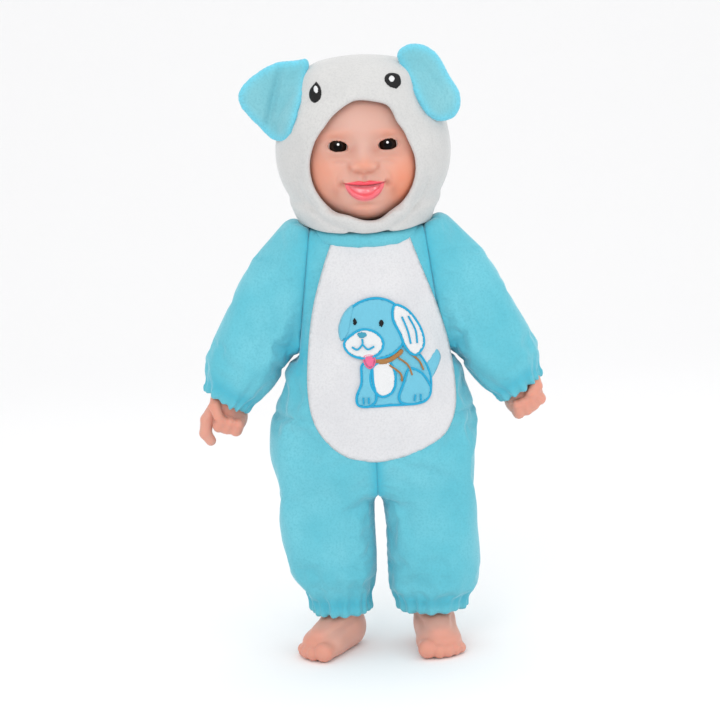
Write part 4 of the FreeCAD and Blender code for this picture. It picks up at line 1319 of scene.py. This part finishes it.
def flap_piece():
    low = (FLAP_LOW[0] - 3.0, 10.0, FLAP_LOW[2] - 3.0)
    high = (FLAP_HIGH[0] + 3.0, FLAP_HIGH[1] + 8.0, FLAP_HIGH[2] + 3.0)
    verts, faces = sculpt(flap_field, low, high, 1.3)
    obj = piece("back_flap_cloth", verts, faces, BLUE_PLUSH, "back_flap")
    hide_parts("back_flap")


# ----------------------------------------------------------------- hands, feet
def from_arm(out, depth, down):
    return SHOULDER + out * ARM_OUT + np.array([0, depth, 0]) + down * ARM_DOWN


def joined(parts, k):
    total = parts[0]
    for part in parts[1:]:
        total = soft_min(total, part, k)
    return total


def hand_field(p, finger_out):
    q = list(arm_frame(p))
    wrist = capsule(q, (-1, 0, 112), (-2, 0, 132), 9.5, 10.5)
    if finger_out:
        palm = egg(q, (-7.0, 2.0, 141.0), (15.5, 11.0, 15.0))
        body = joined([palm, wrist], 5.0)
        first = joined([capsule(q, (5.5, -2.0, 138), (6.5, -3.5, 151), 5.6, 5.2),
                        capsule(q, (6.5, -3.5, 151), (2.5, -4.0, 161), 5.2, 4.8),
                        capsule(q, (2.5, -4.0, 161), (-4.0, -3.0, 164.5), 4.8, 4.2)], 1.5)
        parts = [first]
        for i in range(3):
            x = -3.8 - 6.6 * i
            top = 150.0 - 1.8 * i
            parts.append(joined([
                capsule(q, (x, -4.0, 140), (x - 0.5, -8.0, top), 5.0, 4.9),
                capsule(q, (x - 0.5, -8.0, top), (x, -13.0, top - 6.0), 4.8, 4.3)], 1.2))
        thumb = joined([capsule(q, (9.0, -3.0, 128), (6.0, -11.0, 137), 5.2, 4.6),
                        capsule(q, (6.0, -11.0, 137), (0.0, -14.5, 142), 4.6, 4.0)], 1.5)
        parts.append(thumb)
    else:
        palm = egg(q, (-2.0, 1.0, 138.0), (16.0, 12.0, 14.5))
        body = joined([palm, wrist], 5.0)
        parts = []
        for i in range(4):
            x = -12.0 + 6.6 * i
            top = 146.5 - 1.1 * abs(i - 1.3)
            parts.append(joined([
                capsule(q, (x, -3.0, 137), (x, -7.0, top), 5.0, 4.8),
                capsule(q, (x, -7.0, top), (0.8 * x, -13.0, top - 7.0), 4.7, 4.2)], 1.2))
        thumb = joined([capsule(q, (13.0, -4.0, 128), (11.0, -11.5, 134), 5.2, 4.7),
                        capsule(q, (11.0, -11.5, 134), (4.5, -15.0, 136), 4.7, 4.1)], 1.5)
        parts.append(thumb)
    for part in parts:
        body = soft_min(body, part, 1.6)
    return body


def foot_frame(p, side, splay):
    c, s = math.cos(splay), math.sin(splay)
    x, y = p[0] - ANKLE[side], p[1] - MID_Y
    return [c * x + s * y, -s * x + c * y, p[2]]


def foot_field(p, side, splay):
    q = foot_frame(p, side, splay)
    ankle = capsule(q, (0, 1.0, 20), (0, 0, 60), 14.0, 15.5)
    heel = egg(q, (0.0, 6.0, 14.5), (14.5, 16.0, 16.5))
    instep = capsule(q, (0.0, -4.0, 20.0), (-0.5, -28.0, 10.5), 15.5, 11.5)
    ball = egg(q, (-0.5, -27.0, 9.5), (18.0, 14.0, 11.0))
    fat = egg(q, (0.0, -14.0, 11.5), (16.0, 24.0, 14.0))
    body = joined([ankle, heel, instep, ball, fat], 7.0)
    crease = 1.2 * np.exp(-((q[2] - 27.0 - 0.25 * q[1]) / 2.2) ** 2)
    body = body + crease * np.clip((-q[1] + 4.0) / 10.0, 0.0, 1.0)
    toes = [(-11.4, -39.0, 7.6, 3.0), (-2.4, -41.5, 5.7, 2.5), (4.6, -40.2, 5.3, 2.5),
            (10.6, -37.0, 4.9, 2.5), (15.6, -32.5, 4.5, 2.5)]
    for x, y, r, long in toes:
        toe = capsule(q, (x * 0.92, y + 8.0, r + 0.5), (x, y - long + 2.0, r + 0.2), r * 0.95, r)
        body = soft_min(body, toe, 1.7)
    return soft_max(body, 0.02 - q[2], 1.6)


def limb_pieces():
    step = 0.95
    for side, finger_out in (("left", False), ("right", True)):
        wrist = from_arm(-2.0, 0.0, 138.0)
        low, high = wrist - np.array([34.0, 26.0, 36.0]), wrist + np.array([34.0, 20.0, 30.0])
        verts, faces = sculpt(lambda p: hand_field(p, finger_out), low, high, step)
        verts, faces = shaped(side, verts, faces)
        obj = piece("hand_skin_" + side, verts, faces, LIMB_SKIN, "hand_" + side)
        knuckle = np.clip((-verts[:, 1] - 9.0) / 8.0, 0.0, 1.0)
        paint(obj, "blush_and_shade", 0.25 + 0.3 * knuckle)
        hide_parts("hand_" + side)
    for side, splay in (("left", math.radians(6.0)), ("right", math.radians(37.0))):
        low, high = (ANKLE[side] - 45.0, -62.0, -1.0), (ANKLE[side] + 45.0, 30.0, 60.0)
        verts, faces = sculpt(lambda p: foot_field(p, side, splay), low, high, step)
        toe = np.clip((-foot_frame(list(verts.T), side, splay)[1] - 30.0) / 10.0, 0.0, 1.0)
        verts, faces = shaped(side, verts, faces)
        obj = piece("foot_skin_" + side, verts, faces, LIMB_SKIN, "foot_" + side)
        paint(obj, "blush_and_shade", 0.18 + 0.35 * toe)
        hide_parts("foot_" + side)


# ------------------------------------------------- parts that show as they are
def moulded(name, colour, rough, tone=0.10):
    """Moulded plastic: fine spark-eroded texture, faint cloudy colour."""
    m = Nodes(name)
    cloud = m.noise(60.0, 3.0, 0.55)
    grain = m.noise(2600.0, 2.0, 0.6)
    low = tuple(c * (1.0 - tone) for c in colour)
    high = tuple(min(1.0, c * (1.0 + tone)) for c in colour)
    m.colour(m.mix(cloud, low, high))
    m.link(m.math("MULTIPLY_ADD", cloud, 0.16, rough - 0.08), m.shader.inputs["Roughness"])
    m.set(Specular_IOR_Level=0.45)
    m.bump(grain, 0.18, 0.0002)
    return m.mat


def brushed(name, colour, rough, lines=(1.0, 30.0, 1.0)):
    """Sheet or turned metal with fine lines and a few dull spots."""
    m = Nodes(name)
    strokes = m.noise(350.0, 3.0, 0.6, lines)
    spots = m.ramp(m.noise(120.0, 4.0, 0.6), [(0.55, (0, 0, 0)), (0.75, (1, 1, 1))])
    dull = tuple(c * 0.55 for c in colour)
    m.colour(m.mix(m.math("MULTIPLY", spots, 0.6), colour, dull))
    m.link(m.math("MULTIPLY_ADD", strokes, 0.25, rough - 0.1), m.shader.inputs["Roughness"])
    m.set(Metallic=1.0)
    m.bump(strokes, 0.12, 0.0002)
    return m.mat


def ribbed(name, colour, rough, pitch, axis, depth, tone=0.2):
    """Woven band, hooks or folded paper: even ribs along one axis, broken by noise."""
    m = Nodes(name)
    where = m.add("ShaderNodeTexCoord")
    bands = m.add("ShaderNodeTexWave", bands_direction=axis)
    bands.inputs["Scale"].default_value = pitch
    bands.inputs["Distortion"].default_value = 1.2
    bands.inputs["Detail Scale"].default_value = 3.0
    m.link(where.outputs["Object"], bands.inputs["Vector"])
    ribs = bands.outputs["Fac"]
    fuzz = m.noise(1500.0, 3.0, 0.6)
    low = tuple(c * (1.0 - tone) for c in colour)
    m.colour(m.mix(m.math("MULTIPLY", ribs, fuzz), low, colour))
    m.set(Roughness=rough, Sheen_Weight=0.25, Specular_IOR_Level=0.3)
    m.bump(ribs, 0.35, depth)
    m.bump(fuzz, 0.25, 0.0003)
    return m.mat


def board_material():
    """Green lacquered board with copper tracks."""
    m = Nodes("board")
    where = m.add("ShaderNodeTexCoord")
    cells = m.add("ShaderNodeTexVoronoi", feature="DISTANCE_TO_EDGE", Scale=260.0)
    m.link(where.outputs["Object"], cells.inputs["Vector"])
    tracks = m.ramp(cells.outputs["Distance"], [(0.06, (1, 1, 1)), (0.10, (0, 0, 0))])
    green = m.mix(m.noise(90.0, 3.0), (0.010, 0.085, 0.030), (0.018, 0.120, 0.045))
    m.colour(m.mix(tracks, green, (0.045, 0.21, 0.075)))
    m.set(Roughness=0.32, Coat_Weight=0.4, Coat_Roughness=0.1)
    m.bump(tracks, 0.25, 0.0002)
    return m.mat


def filling_material():
    """Teased polyester fibre."""
    m = Nodes("stuffing")
    fibre = m.noise(420.0, 6.0, 0.72, (1.0, 1.0, 0.35))
    clump = m.noise(45.0, 3.0, 0.6)
    m.colour(m.mix(clump, (0.70, 0.70, 0.69), (0.86, 0.86, 0.85)))
    m.set(Roughness=0.95, Sheen_Weight=0.5, Specular_IOR_Level=0.1)
    m.bump(clump, 0.5, 0.003)
    m.bump(fibre, 0.6, 0.0012)
    return m.mat


def dress_parts():
    look = {
        "box_plastic": moulded("box_plastic", (0.80, 0.80, 0.77), 0.46, 0.03),
        "cell_jacket": moulded("cell_jacket", (0.016, 0.020, 0.026), 0.30),
        "black_plastic": moulded("black_plastic", (0.014, 0.014, 0.015), 0.50),
        "switch_plastic": moulded("switch_plastic", (0.022, 0.022, 0.025), 0.40),
        "wire": moulded("wire", (0.42, 0.012, 0.010), 0.42),
        "tie_nylon": moulded("tie_nylon", (0.78, 0.78, 0.77), 0.40, 0.04),
        "contact_metal": brushed("contact_metal", (0.66, 0.65, 0.62), 0.30),
        "speaker_steel": brushed("speaker_steel", (0.42, 0.42, 0.43), 0.42, (1.0, 1.0, 20.0)),
        "motor_steel": brushed("motor_steel", (0.58, 0.58, 0.59), 0.30, (30.0, 1.0, 1.0)),
        "weight_metal": brushed("weight_metal", (0.58, 0.44, 0.20), 0.34, (20.0, 1.0, 1.0)),
        "screw_steel": brushed("screw_steel", (0.62, 0.62, 0.63), 0.26),
        "speaker_paper": ribbed("speaker_paper", (0.030, 0.030, 0.031), 0.85, 420.0, "Z", 0.0003),
        "hook_and_loop": ribbed("hook_and_loop", (0.72, 0.75, 0.78), 0.90, 700.0, "Z", 0.0004),
        "elastic": ribbed("elastic", (0.78, 0.78, 0.77), 0.85, 900.0, "Z", 0.0004),
        "board": board_material(),
        "stuffing": filling_material(),
    }
    slots = {s["node"]: s["material_slot"] for s in frame["record"]["subparts"]}
    for node, obj in frame["nodes"].items():
        if slots[node] in look:
            obj.data.materials.clear()
            obj.data.materials.append(look[slots[node]])


# ------------------------------------------------------------ stage and camera
CAMERA_AT = Vector((0.0, -1.30, 0.42))
CAMERA_AIM = Vector((0.0, 0.0, 0.238))
CAMERA_ROLL = math.radians(2.5)


def backdrop():
    """A floor that curves up well behind the doll."""
    mesh = bpy.data.meshes.new("floor")
    rows = []
    for i in range(25):
        t = i / 24.0
        if t < 0.5:
            rows.append((-3.0 + 9.0 * t, 0.0))
        else:
            a = (t - 0.5) * math.pi
            rows.append((1.5 + 1.5 * math.sin(a), 1.5 - 1.5 * math.cos(a)))
    rows.append((3.0, 5.0))
    verts = [(x, y, z) for y, z in rows for x in (-5.0, 5.0)]
    faces = [(2 * i, 2 * i + 1, 2 * i + 3, 2 * i + 2) for i in range(len(rows) - 1)]
    mesh.from_pydata(verts, [], faces)
    mesh.polygons.foreach_set("use_smooth", [True] * len(faces))
    floor = bpy.data.objects.new("floor", mesh)
    bpy.context.scene.collection.objects.link(floor)
    mesh.materials.append(plain("floor_paper", (0.955, 0.955, 0.96), 0.9, spread=0.01))


def camera():
    cam = bpy.data.cameras.new("camera")
    cam.lens = 82.5
    cam.sensor_width = 36.0
    cam.shift_x = -12.0 / 720.0
    cam.shift_y = -6.0 / 720.0
    obj = bpy.data.objects.new("camera", cam)
    bpy.context.scene.collection.objects.link(obj)
    obj.location = CAMERA_AT
    turn = (CAMERA_AIM - CAMERA_AT).to_track_quat("-Z", "Y").to_matrix().to_4x4()
    obj.matrix_world = Matrix.Translation(CAMERA_AT) @ turn @ Matrix.Rotation(-CAMERA_ROLL, 4, "Z")
    bpy.context.scene.camera = obj


def area(name, at, aim, size, power):
    light = bpy.data.lights.new(name, "AREA")
    light.size = size
    light.energy = power
    lamp = bpy.data.objects.new(name, light)
    bpy.context.scene.collection.objects.link(lamp)
    lamp.location = at
    lamp.rotation_euler = (Vector(aim) - Vector(at)).to_track_quat("-Z", "Y").to_euler()


def lighting():
    area("key", (-0.55, -1.6, 1.45), (0, 0, 0.3), 0.9, 7.6)
    area("fill", (1.5, -1.1, 0.8), (0, 0, 0.25), 1.4, 4.0)
    area("top", (0.1, 0.25, 1.9), (0, 0, 0.2), 1.3, 5.0)
    area("catch", (0.22, -1.25, 0.85), (0, 0, 0.4), 0.08, 0.8)
    world = bpy.data.worlds.new("world")
    world.use_nodes = True
    world.node_tree.nodes["Background"].inputs[0].default_value = (1, 1, 1, 1)
    world.node_tree.nodes["Background"].inputs[1].default_value = 0.92
    bpy.context.scene.world = world
    bpy.context.scene.view_settings.view_transform = "Standard"


head_piece()
EYE_MATERIAL = eye_material()
for sign in (1.0, -1.0):
    eyeball(sign, EYE_MATERIAL)
HOOD = hood_piece()
hood_eyes(HOOD)
EAR_CLOTH = ear_pieces()
SUIT = suit_pieces()
PANEL_CLOTH = belly(SUIT)
puppy(PANEL_CLOTH)
bend_suit(SUIT)
bend_ears(EAR_CLOTH)
collar()
flap_piece()
limb_pieces()
dress_parts()
backdrop()
camera()
lighting()
